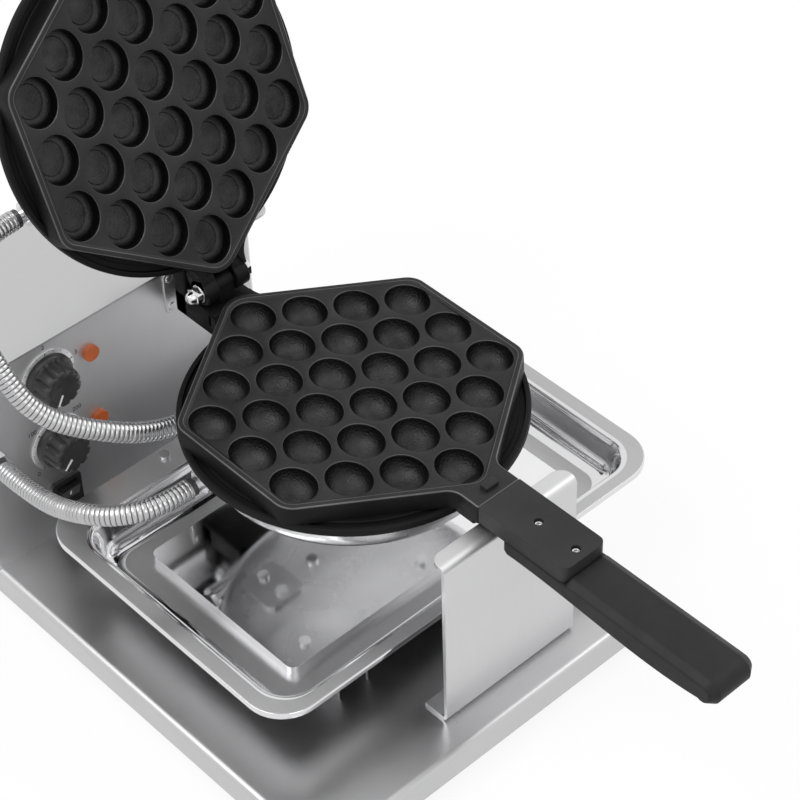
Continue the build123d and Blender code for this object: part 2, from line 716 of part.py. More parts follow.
# Base: a shallow inverted tray on four tall rubber feet
BASE_CENTRE, BASE_WIDTH, BASE_LENGTH = sheet_box(BASE_LEFT, BASE_RIGHT, BASE_FRONT, HOUSING_REAR)
FOOT_POINTS = [(x, y) for x in (BASE_LEFT + FOOT_INSET, BASE_RIGHT - FOOT_INSET)
               for y in (BASE_FRONT + FOOT_INSET, HOUSING_REAR - FOOT_INSET)]
RUNNER_PLACES = ((PAN_CENTRE_X - PAN_RUNNER_X, 0), (PAN_CENTRE_X + PAN_RUNNER_X, 0))
with BuildPart() as base_tray:
    with BuildSketch(FLOOR.offset(BASE_BOTTOM)):
        with Locations(BASE_CENTRE):
            RectangleRounded(BASE_WIDTH, BASE_LENGTH, BASE_CORNER)
    extrude(amount=BASE_TOP - BASE_BOTTOM)
    fillet(base_tray.faces().sort_by(Axis.Z)[-1].edges(), BASE_EDGE)
    with BuildSketch(FLOOR.offset(BASE_BOTTOM)):
        with Locations(BASE_CENTRE):
            RectangleRounded(BASE_WIDTH - 2 * SHEET, BASE_LENGTH - 2 * SHEET, BASE_CORNER - SHEET)
    extrude(amount=BASE_TOP - BASE_BOTTOM - SHEET, mode=Mode.SUBTRACT)
    with BuildSketch(FLOOR.offset(BASE_TOP)):
        with Locations(*FOOT_POINTS):
            Circle(FOOT_PEG + BOLT_FIT)
        with Locations(*[(x, REST_SCREW_Y) for x in REST_SCREWS]):
            Circle(SMALL_SCREW + BOLT_FIT)
    extrude(amount=-2 * SHEET, mode=Mode.SUBTRACT)
finish(base_tray, "base_tray")

with BuildPart(FLOOR) as rubber_feet:
    with Locations(*FOOT_POINTS):
        Cone(FOOT_SOLE_RADIUS, FOOT_RADIUS, BASE_TOP - SHEET,
             align=(Align.CENTER, Align.CENTER, Align.MIN))
        Cylinder(FOOT_PEG, BASE_TOP, align=(Align.CENTER, Align.CENTER, Align.MIN))
finish(rubber_feet, "rubber_feet")

# Front rest: a strip bent back at the top and at the foot, screwed to the base
with BuildPart() as front_rest:
    with BuildSketch(side_of(FLOOR).offset(-REST_HALF)):
        with Locations((REST_FACE + REST_FOOT / 2, (BASE_TOP + REST_TOP) / 2)):
            RectangleRounded(REST_FOOT, REST_TOP - BASE_TOP, REST_BEND)
        with Locations((REST_FACE + REST_FOOT / 2 + REST_SHEET, (BASE_TOP + REST_TOP) / 2)):
            RectangleRounded(REST_FOOT, REST_TOP - BASE_TOP - 2 * REST_SHEET,
                             REST_BEND - REST_SHEET, mode=Mode.SUBTRACT)
        with Locations((REST_FACE + REST_FOOT, (BASE_TOP + REST_TOP) / 2)):
            Rectangle(2 * REST_BEND, REST_TOP - BASE_TOP + 2, mode=Mode.SUBTRACT)
        with Locations((REST_FACE + (REST_FLANGE + REST_FOOT) / 2, REST_TOP)):
            Rectangle(REST_FOOT - REST_FLANGE, 2 * REST_BEND, mode=Mode.SUBTRACT)
    extrude(amount=2 * REST_HALF)
    rear_corners = front_rest.edges().filter_by(Axis.Z).sort_by(Axis.Y)[-4:]
    fillet(rear_corners.group_by(Axis.Z)[-1], REST_CORNER)
    for x in REST_SCREWS:
        bore(FLOOR.offset(BASE_TOP), x, REST_SCREW_Y, SMALL_SCREW + BOLT_FIT, REST_SHEET)
finish(front_rest, "front_rest")
finish(make_screws([(FLOOR.offset(BASE_TOP + REST_SHEET), x, REST_SCREW_Y) for x in REST_SCREWS],
                   SMALL_HEAD, SMALL_HEAD_HEIGHT, SMALL_SCREW, REST_SHEET + SHEET + 3), "rest_screws")


def pan_solid(shrink):
    """Tub of the drip pan below its rim, smaller on every side by shrink."""
    centre, width, length = sheet_box(-PAN_IN_X, PAN_IN_X, PAN_IN_FRONT, PAN_IN_REAR)
    with BuildPart() as tub:
        with BuildSketch(FLOOR.offset(PAN_RIM)):
            with Locations((PAN_CENTRE_X, centre[1])):
                RectangleRounded(width + 2 * PAN_SHEET - 2 * shrink, length + 2 * PAN_SHEET - 2 * shrink,
                                 PAN_IN_CORNER + PAN_SHEET - shrink)
        extrude(amount=-(PAN_RIM - PAN_FLOOR + PAN_SHEET - shrink), taper=PAN_TAPER)
        fillet(tub.faces().sort_by(Axis.Z)[0].edges(), PAN_FLOOR_CORNER - shrink)
    return tub.part


# Drip pan: a tub with a flat rim turned down at its edge, wider at the rear
RIM_CENTRE, RIM_SPAN_X, RIM_SPAN_Y = sheet_box(-PAN_OUT_X, PAN_OUT_X, PAN_OUT_FRONT, PAN_OUT_REAR)
PAN_SCREWS = [(PAN_CENTRE_X + side * PAN_SCREW_X, PAN_OUT_REAR - PAN_SCREW_INSET) for side in (-1, 1)]
with BuildPart() as drip_pan:
    with BuildSketch(FLOOR.offset(PAN_RIM)):
        with Locations((PAN_CENTRE_X, RIM_CENTRE[1])):
            RectangleRounded(RIM_SPAN_X, RIM_SPAN_Y, PAN_CORNER)
    extrude(amount=-PAN_LIP)
    with BuildSketch(FLOOR.offset(PAN_RIM - PAN_SHEET)):
        with Locations((PAN_CENTRE_X, RIM_CENTRE[1])):
            RectangleRounded(RIM_SPAN_X - 2 * PAN_SHEET, RIM_SPAN_Y - 2 * PAN_SHEET, PAN_CORNER - PAN_SHEET)
    extrude(amount=-PAN_LIP, mode=Mode.SUBTRACT)
    add(pan_solid(0))
    add(pan_solid(PAN_SHEET), mode=Mode.SUBTRACT)
    for x, y in PAN_SCREWS:
        bore(FLOOR.offset(PAN_RIM), x, y, SMALL_SCREW + BOLT_FIT, -2 * PAN_SHEET)
finish(drip_pan, "drip_pan")
finish(make_screws([(FLOOR.offset(PAN_RIM), x, y) for x, y in PAN_SCREWS],
                   SMALL_HEAD, SMALL_HEAD_HEIGHT, SMALL_SCREW, PAN_SHEET + RAIL_SHEET + 3), "pan_screws")

# Runners under the drip pan and the angle under its rear rim
with BuildPart() as pan_rails:
    with BuildSketch(side_of(Plane(FLOOR.origin, x_dir=(0, 1, 0), z_dir=(0, 0, 1))).offset(-RAIL_REACH)):
        for x, _ in RUNNER_PLACES:
            with Locations((-x, (BASE_TOP + PAN_FLOOR - PAN_SHEET) / 2)):
                Rectangle(2 * PAN_RUNNER_HALF, PAN_FLOOR - PAN_SHEET - BASE_TOP)
            with Locations((-x, (BASE_TOP + PAN_FLOOR - PAN_SHEET) / 2 - RAIL_SHEET)):
                Rectangle(2 * (PAN_RUNNER_HALF - RAIL_SHEET), PAN_FLOOR - PAN_SHEET - BASE_TOP,
                          mode=Mode.SUBTRACT)
    extrude(amount=2 * RAIL_REACH)
    with BuildSketch(side_of(FLOOR).offset(PAN_CENTRE_X - RAIL_ANGLE_HALF)):
        with Locations((PAN_OUT_REAR - RAIL_ANGLE_INSET - RAIL_SHEET / 2,
                        (BASE_TOP + PAN_RIM - PAN_SHEET) / 2)):
            Rectangle(RAIL_SHEET, PAN_RIM - PAN_SHEET - BASE_TOP)
        with Locations((PAN_OUT_REAR - RAIL_ANGLE_INSET - RAIL_ANGLE_FLANGE / 2,
                        PAN_RIM - PAN_SHEET - RAIL_SHEET / 2)):
            Rectangle(RAIL_ANGLE_FLANGE, RAIL_SHEET)
    extrude(amount=2 * RAIL_ANGLE_HALF)
    for x, y in PAN_SCREWS:
        bore(FLOOR.offset(PAN_RIM), x, y, SMALL_SCREW + SLIDE_FIT, -3 * RAIL_SHEET)
finish(pan_rails, "pan_rails")

# Loose mirror plate: a flat island with turned-down edges standing in the drip pan
PLATE_CENTRE, PLATE_WIDTH, PLATE_LENGTH = sheet_box(-PLATE_HALF_X, PLATE_HALF_X, PLATE_FRONT, PLATE_REAR)
with BuildPart() as mirror_plate:
    with BuildSketch(FLOOR.offset(PLATE_TOP)):
        with Locations((PAN_CENTRE_X, PLATE_CENTRE[1])):
            RectangleRounded(PLATE_WIDTH, PLATE_LENGTH, PLATE_CORNER)
    extrude(amount=-(PLATE_TOP - PAN_FLOOR))
    with BuildSketch(FLOOR.offset(PLATE_TOP - PAN_SHEET)):
        with Locations((PAN_CENTRE_X, PLATE_CENTRE[1])):
            RectangleRounded(PLATE_WIDTH - 2 * PAN_SHEET, PLATE_LENGTH - 2 * PAN_SHEET,
                             PLATE_CORNER - PAN_SHEET)
    extrude(amount=-(PLATE_TOP - PAN_FLOOR), mode=Mode.SUBTRACT)
finish(mirror_plate, "mirror_plate")

# Housing: a bent wrap for the front and sides, a top plate and a louvred back
HOUSING_CENTRE, HOUSING_WIDTH, HOUSING_DEEP = sheet_box(
    HOUSING_LEFT, HOUSING_RIGHT, HOUSING_FRONT, HOUSING_REAR - SHEET)
FACE = Plane((PAN_X, PAN_Y + HOUSING_FRONT, 0), x_dir=(1, 0, 0), z_dir=(0, -1, 0))
BACK = Plane((PAN_X, PAN_Y + HOUSING_REAR, 0), x_dir=(-1, 0, 0), z_dir=(0, 1, 0))
LIP_LEVEL = HOUSING_TOP - SHEET
TOP_SCREWS = [(x, y) for x in (HOUSING_LEFT + LIP_INSET, HOUSING_RIGHT - LIP_INSET)
              for y in (HOUSING_FRONT + LIP_INSET, HOUSING_REAR - 3 * LIP_INSET)]
BACK_SCREWS = [(x, z) for x in (-HOUSING_LEFT - LIP_INSET, -HOUSING_RIGHT + LIP_INSET)
               for z in (BASE_TOP + 3 * LIP_INSET, HOUSING_TOP - 3 * LIP_INSET)]
with BuildPart() as housing_wrap:
    with BuildSketch(FLOOR.offset(BASE_TOP)):
        with Locations(HOUSING_CENTRE):
            Rectangle(HOUSING_WIDTH, HOUSING_DEEP)
    extrude(amount=HOUSING_TOP - BASE_TOP)
    fillet(housing_wrap.edges().filter_by(Axis.Z).group_by(Axis.Y)[0], HOUSING_BEND)
    with BuildSketch(FLOOR.offset(BASE_TOP)):
        with Locations((HOUSING_CENTRE[0], HOUSING_CENTRE[1] + SHEET / 2)):
            Rectangle(HOUSING_WIDTH - 2 * SHEET, HOUSING_DEEP - SHEET)
    extrude(amount=HOUSING_TOP - BASE_TOP - SHEET, mode=Mode.SUBTRACT)
    with BuildSketch(FLOOR.offset(LIP_LEVEL)):
        with Locations((HOUSING_CENTRE[0], HOUSING_CENTRE[1] + SHEET / 2 + LIP_WIDTH / 2)):
            Rectangle(HOUSING_WIDTH - 2 * SHEET - 2 * LIP_WIDTH, HOUSING_DEEP - SHEET - LIP_WIDTH)
    extrude(amount=SHEET, mode=Mode.SUBTRACT)
    for side in (HOUSING_LEFT + SHEET + LIP_WIDTH / 2, HOUSING_RIGHT - SHEET - LIP_WIDTH / 2):
        with BuildSketch(FLOOR.offset(BASE_TOP)):
            with Locations((side, HOUSING_REAR - 1.5 * SHEET)):
                Rectangle(LIP_WIDTH, SHEET)
        extrude(amount=LIP_LEVEL - BASE_TOP)
    for x, y in TOP_SCREWS:
        bore(FLOOR.offset(HOUSING_TOP), x, y, SMALL_SCREW + SLIDE_FIT, -2 * SHEET)
    for x, z in BACK_SCREWS:
        bore(BACK, x, z, SMALL_SCREW + SLIDE_FIT, -4 * SHEET)
    bore(FACE, 0, PAN_Z, BEARING_RADIUS + BOLT_FIT, -2 * SHEET)
    for x, z in BEARING_BOLTS:
        bore(FACE, x, PAN_Z + z, BEARING_BOLT_RADIUS + SLIDE_FIT, -2 * SHEET)
    for z in (TIMER_Z, THERMOSTAT_Z):
        bore(FACE, PANEL_X, z, SPINDLE_RADIUS + 2 * BOLT_FIT, -2 * SHEET)
        bore(FACE, LAMP_X, z, LAMP_RADIUS + SLIDE_FIT, -2 * SHEET)
    bore(FACE, OUTLET_X, OUTLET_Z, OUTLET_THREAD + SLIDE_FIT, -2 * SHEET)
    with BuildSketch(FACE):
        with Locations((PANEL_X, SWITCH_Z)):
            Rectangle(SWITCH_WIDTH + 2 * SWITCH_WALL + 2 * SLIDE_FIT,
                      SWITCH_LENGTH + 2 * SWITCH_WALL + 2 * SLIDE_FIT)
    extrude(amount=-2 * SHEET, mode=Mode.SUBTRACT)
finish(housing_wrap, "housing_wrap")

top_left = HOUSING_LEFT - TOP_OVER
top_rear = HOUSING_REAR + TOP_OVER
with BuildPart() as housing_top:
    with BuildSketch(FLOOR.offset(HOUSING_TOP)) as top_outline:
        with Locations(((top_left + TOP_RIGHT) / 2, (TOP_FRONT + top_rear) / 2)):
            RectangleRounded(TOP_RIGHT - top_left, top_rear - TOP_FRONT, TOP_CORNER)
    extrude(amount=TOP_SHEET)
    for x, y in TOP_SCREWS:
        bore(FLOOR.offset(HOUSING_TOP + TOP_SHEET), x, y, SMALL_SCREW + BOLT_FIT, -TOP_SHEET)
finish(housing_top, "housing_top")

with BuildPart() as housing_back:
    with BuildSketch(BACK):
        with Locations((-HOUSING_CENTRE[0], (BASE_TOP + HOUSING_TOP) / 2)):
            Rectangle(HOUSING_WIDTH, HOUSING_TOP - BASE_TOP)
        with Locations((-HOUSING_CENTRE[0], (BASE_TOP + HOUSING_TOP) / 2)):
            with GridLocations(1, LOUVRE_PITCH, 1, LOUVRES):
                SlotOverall(LOUVRE_WIDTH, LOUVRE_HEIGHT, mode=Mode.SUBTRACT)
    extrude(amount=-SHEET)
    for x, z in BACK_SCREWS:
        bore(BACK, x, z, SMALL_SCREW + BOLT_FIT, -SHEET)
    bore(BACK, -GLAND_X, GLAND_Z, GLAND_THREAD + SLIDE_FIT, -SHEET)
finish(housing_back, "housing_back")

housing_places = [(FLOOR.offset(HOUSING_TOP + TOP_SHEET), x, y) for x, y in TOP_SCREWS]
housing_places += [(BACK, x, z) for x, z in BACK_SCREWS]
finish(make_screws(housing_places, SMALL_HEAD, SMALL_HEAD_HEIGHT, SMALL_SCREW, 2 * SHEET + 3),
       "housing_screws")

# Supply inlet: a gland in the back panel, open for the cord
with BuildPart() as supply_gland:
    post(BACK, -GLAND_X, GLAND_Z, GLAND_RADIUS, GLAND_FLANGE)
    post(BACK.offset(GLAND_FLANGE), -GLAND_X, GLAND_Z, GLAND_THREAD, GLAND_LENGTH - GLAND_FLANGE)
    post(BACK, -GLAND_X, GLAND_Z, GLAND_THREAD, -SHEET)
    post(BACK.offset(-SHEET), -GLAND_X, GLAND_Z, GLAND_RADIUS, -GLAND_FLANGE)
    bore(BACK.offset(GLAND_LENGTH), -GLAND_X, GLAND_Z, GLAND_BORE, -2 * GLAND_LENGTH)
finish(supply_gland, "supply_gland")


def make_knob(z):
    """Fluted knob with a skirt, pushed on a round spindle."""
    seat = FACE.offset(DIAL_THICK + FACE_GAP)
    with BuildPart() as knob:
        post(seat, PANEL_X, z, KNOB_SKIRT, KNOB_SKIRT_HEIGHT)
        with BuildSketch(seat.offset(KNOB_SKIRT_HEIGHT)) as grip_outline:
            with Locations((PANEL_X, z)):
                Circle(KNOB_RADIUS)
                with PolarLocations(KNOB_RADIUS + KNOB_FLUTE / 2, KNOB_FLUTES):
                    Circle(KNOB_FLUTE, mode=Mode.SUBTRACT)
        extrude(grip_outline.sketch, amount=KNOB_HEIGHT - KNOB_SKIRT_HEIGHT)
        bore(seat, PANEL_X, z, SPINDLE_RADIUS + SLIDE_FIT, KNOB_HEIGHT - KNOB_CAP)
    return knob


def make_spindle(z):
    """Spindle from inside a control, through the sheet and dial, into its knob."""
    with BuildPart() as spindle:
        post(FACE.offset(-SHEET - SPINDLE_LENGTH), PANEL_X, z, SPINDLE_RADIUS,
             SHEET + SPINDLE_LENGTH + DIAL_THICK + FACE_GAP + KNOB_HEIGHT - KNOB_CAP)
    return spindle


def make_dial(z):
    """Round scale plate on the housing front."""
    with BuildPart() as dial:
        post(FACE, PANEL_X, z, DIAL_RADIUS, DIAL_THICK)
        bore(FACE, PANEL_X, z, SPINDLE_RADIUS + 2 * BOLT_FIT, DIAL_THICK)
    return dial


def make_control(z):
    """Body of a control behind the housing front, bored for its spindle."""
    with BuildPart() as control:
        with BuildSketch(FACE.offset(-SHEET)):
            with Locations((PANEL_X, z)):
                RectangleRounded(CONTROL_BODY, CONTROL_BODY, CONTROL_CORNER)
        extrude(amount=-CONTROL_DEPTH)
        bore(FACE.offset(-SHEET), PANEL_X, z, SPINDLE_RADIUS + SLIDE_FIT, -SPINDLE_LENGTH - FACE_GAP)
    return control


for control_name, control_z in (("timer", TIMER_Z), ("thermostat", THERMOSTAT_Z)):
    finish(make_knob(control_z), f"{control_name}_knob")
    finish(make_spindle(control_z), f"{control_name}_spindle")
    finish(make_dial(control_z), f"{control_name}_dial")
    finish(make_control(control_z), f"{control_name}_body")

# Mains switch: a rocker pivoting in a bezel let into the housing front
SWITCH = Plane((PAN_X + PANEL_X, PAN_Y + HOUSING_FRONT, SWITCH_Z), x_dir=(1, 0, 0), z_dir=(0, -1, 0))
with BuildPart() as switch_bezel:
    with BuildSketch(SWITCH):
        RectangleRounded(SWITCH_WIDTH + 2 * SWITCH_FLANGE, SWITCH_LENGTH + 2 * SWITCH_FLANGE, 2)
    extrude(amount=SWITCH_BEZEL)
    with BuildSketch(SWITCH):
        Rectangle(SWITCH_WIDTH + 2 * SWITCH_WALL, SWITCH_LENGTH + 2 * SWITCH_WALL)
    extrude(amount=-SWITCH_DEPTH)
    with BuildSketch(SWITCH.offset(SWITCH_BEZEL)):
        Rectangle(SWITCH_WIDTH, SWITCH_LENGTH)
    extrude(amount=-SWITCH_CAVITY - SWITCH_BEZEL, mode=Mode.SUBTRACT)
finish(switch_bezel, "switch_bezel")

ROCKER_UP = Vector(0, -sin(radians(ROCKER_TILT)), cos(radians(ROCKER_TILT)))
ROCKER_SIDE = Plane(SWITCH.origin, x_dir=ROCKER_UP, z_dir=(1, 0, 0))
with BuildPart() as rocker:
    with BuildSketch(ROCKER_SIDE.offset(-SWITCH_WIDTH / 2 + FACE_GAP)):
        with BuildLine():
            Polyline((-ROCKER_REACH, ROCKER_RISE), (0, ROCKER_RISE - ROCKER_DIP), (ROCKER_REACH, ROCKER_RISE),
                     (ROCKER_REACH - 2, -ROCKER_ROOT), (2 - ROCKER_REACH, -ROCKER_ROOT), close=True)
        make_face()
    extrude(amount=SWITCH_WIDTH - 2 * FACE_GAP)
finish(rocker, "rocker")

with BuildPart() as lamps:
    for control_z in (TIMER_Z, THERMOSTAT_Z):
        post(FACE.offset(-LAMP_DEPTH), LAMP_X, control_z, LAMP_RADIUS, LAMP_DEPTH)
        post(FACE, LAMP_X, control_z, LAMP_RADIUS + LAMP_COLLAR, LAMP_LENS)
finish(lamps, "lamps")

# Connection block on the base inside the housing
with BuildPart() as terminal_block:
    with BuildSketch(FLOOR.offset(BASE_TOP)):
        with Locations((BLOCK_X, BLOCK_Y)):
            Rectangle(BLOCK_LENGTH, BLOCK_WIDTH)
    extrude(amount=BLOCK_HEIGHT)
    with BuildSketch(FLOOR.offset(BASE_TOP + BLOCK_HEIGHT)):
        with Locations((BLOCK_X, BLOCK_Y)):
            with GridLocations(BLOCK_LENGTH / BLOCK_WAYS, BLOCK_WIDTH / 2, BLOCK_WAYS, 2):
                Circle(BLOCK_SCREW)
    extrude(amount=-BLOCK_SCREW, mode=Mode.SUBTRACT)
finish(terminal_block, "terminal_block")

# Outlet of the lower hose in the housing front
with BuildPart() as hose_outlet:
    with BuildSketch(FACE):
        with Locations((OUTLET_X, OUTLET_Z)):
            RegularPolygon(OUTLET_NUT, 6)
    extrude(amount=OUTLET_LENGTH)
    post(FACE, OUTLET_X, OUTLET_Z, OUTLET_THREAD, -OUTLET_REACH)
    bore(FACE.offset(OUTLET_LENGTH), OUTLET_X, OUTLET_Z, FERRULE_BORE, -OUTLET_LENGTH - OUTLET_REACH)
finish(hose_outlet, "hose_outlet")


def hose_route(points):
    """Smooth path through the points, each bend as large as its two runs allow."""
    corners = [Vector(*point) for point in points]
    radii = []
    for before, at, after in zip(corners, corners[1:], corners[2:]):
        turn = (at - before).get_angle(after - at)
        shorter = min((at - before).length, (after - at).length)
        radii.append(BEND_SHARE * shorter / tan(radians(turn / 2)))
    print("hose radii", [round(radius, 1) for radius in radii])
    with BuildLine() as route:
        FilletPolyline(*corners, radius=radii)
    return route.wire()


def make_hose(points, normal):
    """Ribbed conduit with its bore, ribs at a steady pitch, bending mostly about the normal."""
    path = hose_route(points)
    plain = 2 * HOSE_RADIUS / path.length
    ribs = round(path.length * (1 - 2 * plain) / RIB_PITCH)
    step = (1 - 2 * plain) / ribs
    stations = [(0, HOSE_ROOT)]
    for rib in range(ribs):
        start = plain + rib * step
        stations += [(start, HOSE_ROOT), (start + 0.25 * step, HOSE_RADIUS),
                     (start + 0.6 * step, HOSE_RADIUS), (start + 0.85 * step, HOSE_ROOT)]
    stations += [(1 - plain, HOSE_ROOT), (1, HOSE_ROOT)]
    with BuildPart() as core:
        loft([hose_ring(path, share, HOSE_BORE, normal) for share in core_shares(plain, ribs)], ruled=True)
    with BuildPart() as hose:
        loft([hose_ring(path, share, radius, normal) for share, radius in stations], ruled=True)
        add(core.part, mode=Mode.SUBTRACT)
    print("hose length", round(path.length, 1), "ribs", ribs)
    return hose


def core_shares(plain, ribs):
    """Places along the route of the bore's circles: the ends and every second rib."""
    steps = ribs // 2
    return [0] + [plain + (1 - 2 * plain) * step / steps for step in range(steps + 1)] + [1]


def hose_ring(path, share, radius, normal):
    """Circle square to the path, its X axis kept in the plane of the hose's bends."""
    tangent = path % share
    with BuildSketch(Plane(path @ share, x_dir=normal.cross(tangent), z_dir=tangent),
                     mode=Mode.PRIVATE) as ring:
        Circle(radius)
    return ring.sketch.face()


def world(x, y, depth):
    """Point given from the pans' axis, for the hose routes."""
    return (PAN_X + x, PAN_Y + y, PAN_Z + depth)


feed_y, _, _, feed_end = FEED_FERRULE
link_y, _, _, link_end = LINK_FERRULE
lid_ferrule = UPPER.from_local_coords(Vector(feed_end, feed_y, FERRULE_DEPTH))
feed_outlet = OUTLET_Z - PAN_Z
finish(make_hose((world(-feed_end, -feed_y, -FERRULE_DEPTH), world(-124.6, -feed_y, -FERRULE_DEPTH),
                  world(-145.8, 42, -35), world(-157.6, 62.8, -40), world(OUTLET_X, 106, feed_outlet),
                  world(OUTLET_X, HOUSING_FRONT - OUTLET_LENGTH, feed_outlet)),
                 Vector(0, 0, 1)), "feed_hose")
finish(make_hose((world(-link_end, -link_y, -FERRULE_DEPTH), world(-95, -link_y, -FERRULE_DEPTH),
                  world(-129, 87, -18.5), world(-151, 105, 4), world(-158.2, 128.5, 31.5),
                  world(-157, 152.1, 60.3), world(-144.8, 167.4, 74.8),
                  (PAN_X - 124, lid_ferrule.Y, lid_ferrule.Z), tuple(lid_ferrule)),
                 Vector(0, 1, -0.8)), "link_hose")
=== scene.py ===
"""Looks of the rotating bubble waffle maker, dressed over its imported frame."""
import json
from math import atan2, cos, pi, radians, sin, tan

import bmesh
import bpy
from mathutils import Matrix, Vector


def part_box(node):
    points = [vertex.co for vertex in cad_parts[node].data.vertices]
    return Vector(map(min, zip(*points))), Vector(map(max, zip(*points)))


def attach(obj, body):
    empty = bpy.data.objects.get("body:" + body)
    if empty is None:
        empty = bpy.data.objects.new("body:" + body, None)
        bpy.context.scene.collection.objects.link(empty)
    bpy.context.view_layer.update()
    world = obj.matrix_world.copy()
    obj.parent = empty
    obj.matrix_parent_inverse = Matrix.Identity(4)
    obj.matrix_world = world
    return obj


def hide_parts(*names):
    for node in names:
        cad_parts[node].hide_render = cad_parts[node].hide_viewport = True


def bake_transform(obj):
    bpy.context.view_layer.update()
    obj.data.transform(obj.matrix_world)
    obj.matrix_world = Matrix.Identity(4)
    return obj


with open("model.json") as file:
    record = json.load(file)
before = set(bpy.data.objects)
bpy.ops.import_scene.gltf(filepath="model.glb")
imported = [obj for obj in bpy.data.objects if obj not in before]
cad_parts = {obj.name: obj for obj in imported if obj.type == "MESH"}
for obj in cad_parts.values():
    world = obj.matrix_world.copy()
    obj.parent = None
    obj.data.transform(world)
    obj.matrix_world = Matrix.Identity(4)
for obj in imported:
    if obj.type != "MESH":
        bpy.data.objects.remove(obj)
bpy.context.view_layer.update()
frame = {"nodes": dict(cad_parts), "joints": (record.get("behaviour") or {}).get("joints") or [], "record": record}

MM = 0.001
PER_METRE = 1000

# Read from the frame: the pans' axis, the hinge pin, the lid's open angle, each node's body
JOINTS = {joint["name"]: joint for joint in frame["joints"]}
PAN_CENTRE = Vector(JOINTS["pan_turn"]["pos_m"]) * PER_METRE
HINGE_PIN = Vector(JOINTS["lid_hinge"]["pos_m"]) * PER_METRE
OPEN_ANGLE = JOINTS["lid_hinge"]["range_deg"][1]
NODE_BODIES = {node: body for body, nodes in frame["record"]["behaviour"]["bodies"].items()
               for node in nodes}

# Casting sizes in millimetres, as in the frame
FACE_GAP = 0.3
HEX_FLAT = 95.4
HEX_TIP = 114.5
HEX_SIDE = 48.0
HEX_CORNER = 14.0
HEX_DEPTH = 13.0
RIM_WIDTH = 4.0
RIM_HEIGHT = 1.2
DISC_RADIUS = 105.0
DISC_DEPTH = 18.0
WELL_A = 13.06
WELL_B = 15.24
WELL_DEPTH = 11.4
WELL_PITCH_X = 25.8
WELL_PITCH_Y = 36.0
WELL_COLUMNS = ((-3, 3), (-2, 4), (-1, 5), (0, 6), (1, 5), (2, 4), (3, 3))
SHANK_HALF = 16.3
SHANK_DEPTH = 16.5
SHANK_END = 122.6
JOURNAL_LENGTH = 4.2
HINGE_CORNER = 17.0
HINGE_Y = -119.5
NECK_HALF = 16.5
NECK_DEPTH = 20.0
LID_NECK_DEPTH = 18.0
LUG_HALF = 6.3
EAR_INSIDE = 6.8
WEB_REACH = 62.0


def pan_matrix(lid):
    """From a pan's own millimetres (x across, y to the handle, z into the metal) to metres."""
    if not lid:
        axes = Matrix(((1, 0, 0), (0, -1, 0), (0, 0, -1))).to_4x4()
        return Matrix.Scale(MM, 4) @ Matrix.Translation(PAN_CENTRE) @ axes
    axes = Matrix(((-1, 0, 0), (0, -1, 0), (0, 0, 1))).to_4x4()
    closed = Matrix.Translation(PAN_CENTRE + Vector((0, 0, FACE_GAP))) @ axes
    turn = (Matrix.Translation(HINGE_PIN) @ Matrix.Rotation(-radians(OPEN_ANGLE), 4, "X")
            @ Matrix.Translation(-HINGE_PIN))
    return Matrix.Scale(MM, 4) @ turn @ closed


LOWER = pan_matrix(False)
UPPER = pan_matrix(True)
GROUND = Matrix.Scale(MM, 4) @ Matrix.Translation(Vector((PAN_CENTRE.x, PAN_CENTRE.y, 0)))


# Materials; lengths in them are in metres
BOWL_DEPTH = "bowl_depth"


def new_material(name):
    """Empty node material with a Principled shader, and short ways to add and link nodes."""
    material = bpy.data.materials.new(name)
    material.use_nodes = True
    nodes = material.node_tree.nodes
    return material, nodes, material.node_tree.links, nodes["Principled BSDF"]


def coordinates(nodes, links, stretch=(1, 1, 1)):
    """Object coordinates in metres, stretched for grain that runs one way."""
    place = nodes.new("ShaderNodeTexCoord")
    mapping = nodes.new("ShaderNodeMapping")
    mapping.inputs["Scale"].default_value = stretch
    links.new(place.outputs["Object"], mapping.inputs["Vector"])
    return mapping.outputs["Vector"]


def noise(nodes, links, vector, scale, detail=4.0, rough=0.55):
    """Noise texture read at the given coordinates."""
    texture = nodes.new("ShaderNodeTexNoise")
    texture.inputs["Scale"].default_value = scale
    texture.inputs["Detail"].default_value = detail
    texture.inputs["Roughness"].default_value = rough
    links.new(vector, texture.inputs["Vector"])
    return texture.outputs["Fac"]


def ramp(nodes, links, value, stops):
    """Colour ramp over a value; stops are (place, colour)."""
    band = nodes.new("ShaderNodeValToRGB")
    elements = band.color_ramp.elements
    elements[0].position, elements[0].color = stops[0][0], (*stops[0][1], 1)
    elements[1].position, elements[1].color = stops[-1][0], (*stops[-1][1], 1)
    for place, colour in stops[1:-1]:
        elements.new(place).color = (*colour, 1)
    links.new(value, band.inputs["Fac"])
    return band.outputs["Color"]


def spread(nodes, links, value, low, high):
    """Map a 0.3 to 0.7 noise value to a range."""
    mapped = nodes.new("ShaderNodeMapRange")
    mapped.inputs["From Min"].default_value = 0.3
    mapped.inputs["From Max"].default_value = 0.7
    mapped.inputs["To Min"].default_value = low
    mapped.inputs["To Max"].default_value = high
    links.new(value, mapped.inputs["Value"])
    return mapped.outputs["Result"]


def surface_relief(nodes, links, shader, height, depth, edge=0.0):
    """Bump from a height, over edges rounded by a radius in metres."""
    bump = nodes.new("ShaderNodeBump")
    bump.inputs["Strength"].default_value = 1.0
    bump.inputs["Distance"].default_value = depth
    links.new(height, bump.inputs["Height"])
    if edge:
        bevel = nodes.new("ShaderNodeBevel")
        bevel.inputs["Radius"].default_value = edge
        bevel.samples = 4
        links.new(bevel.outputs["Normal"], bump.inputs["Normal"])
    links.new(bump.outputs["Normal"], shader.inputs["Normal"])


def grey(level):
    """Neutral colour."""
    return (level, level, level * 1.01)


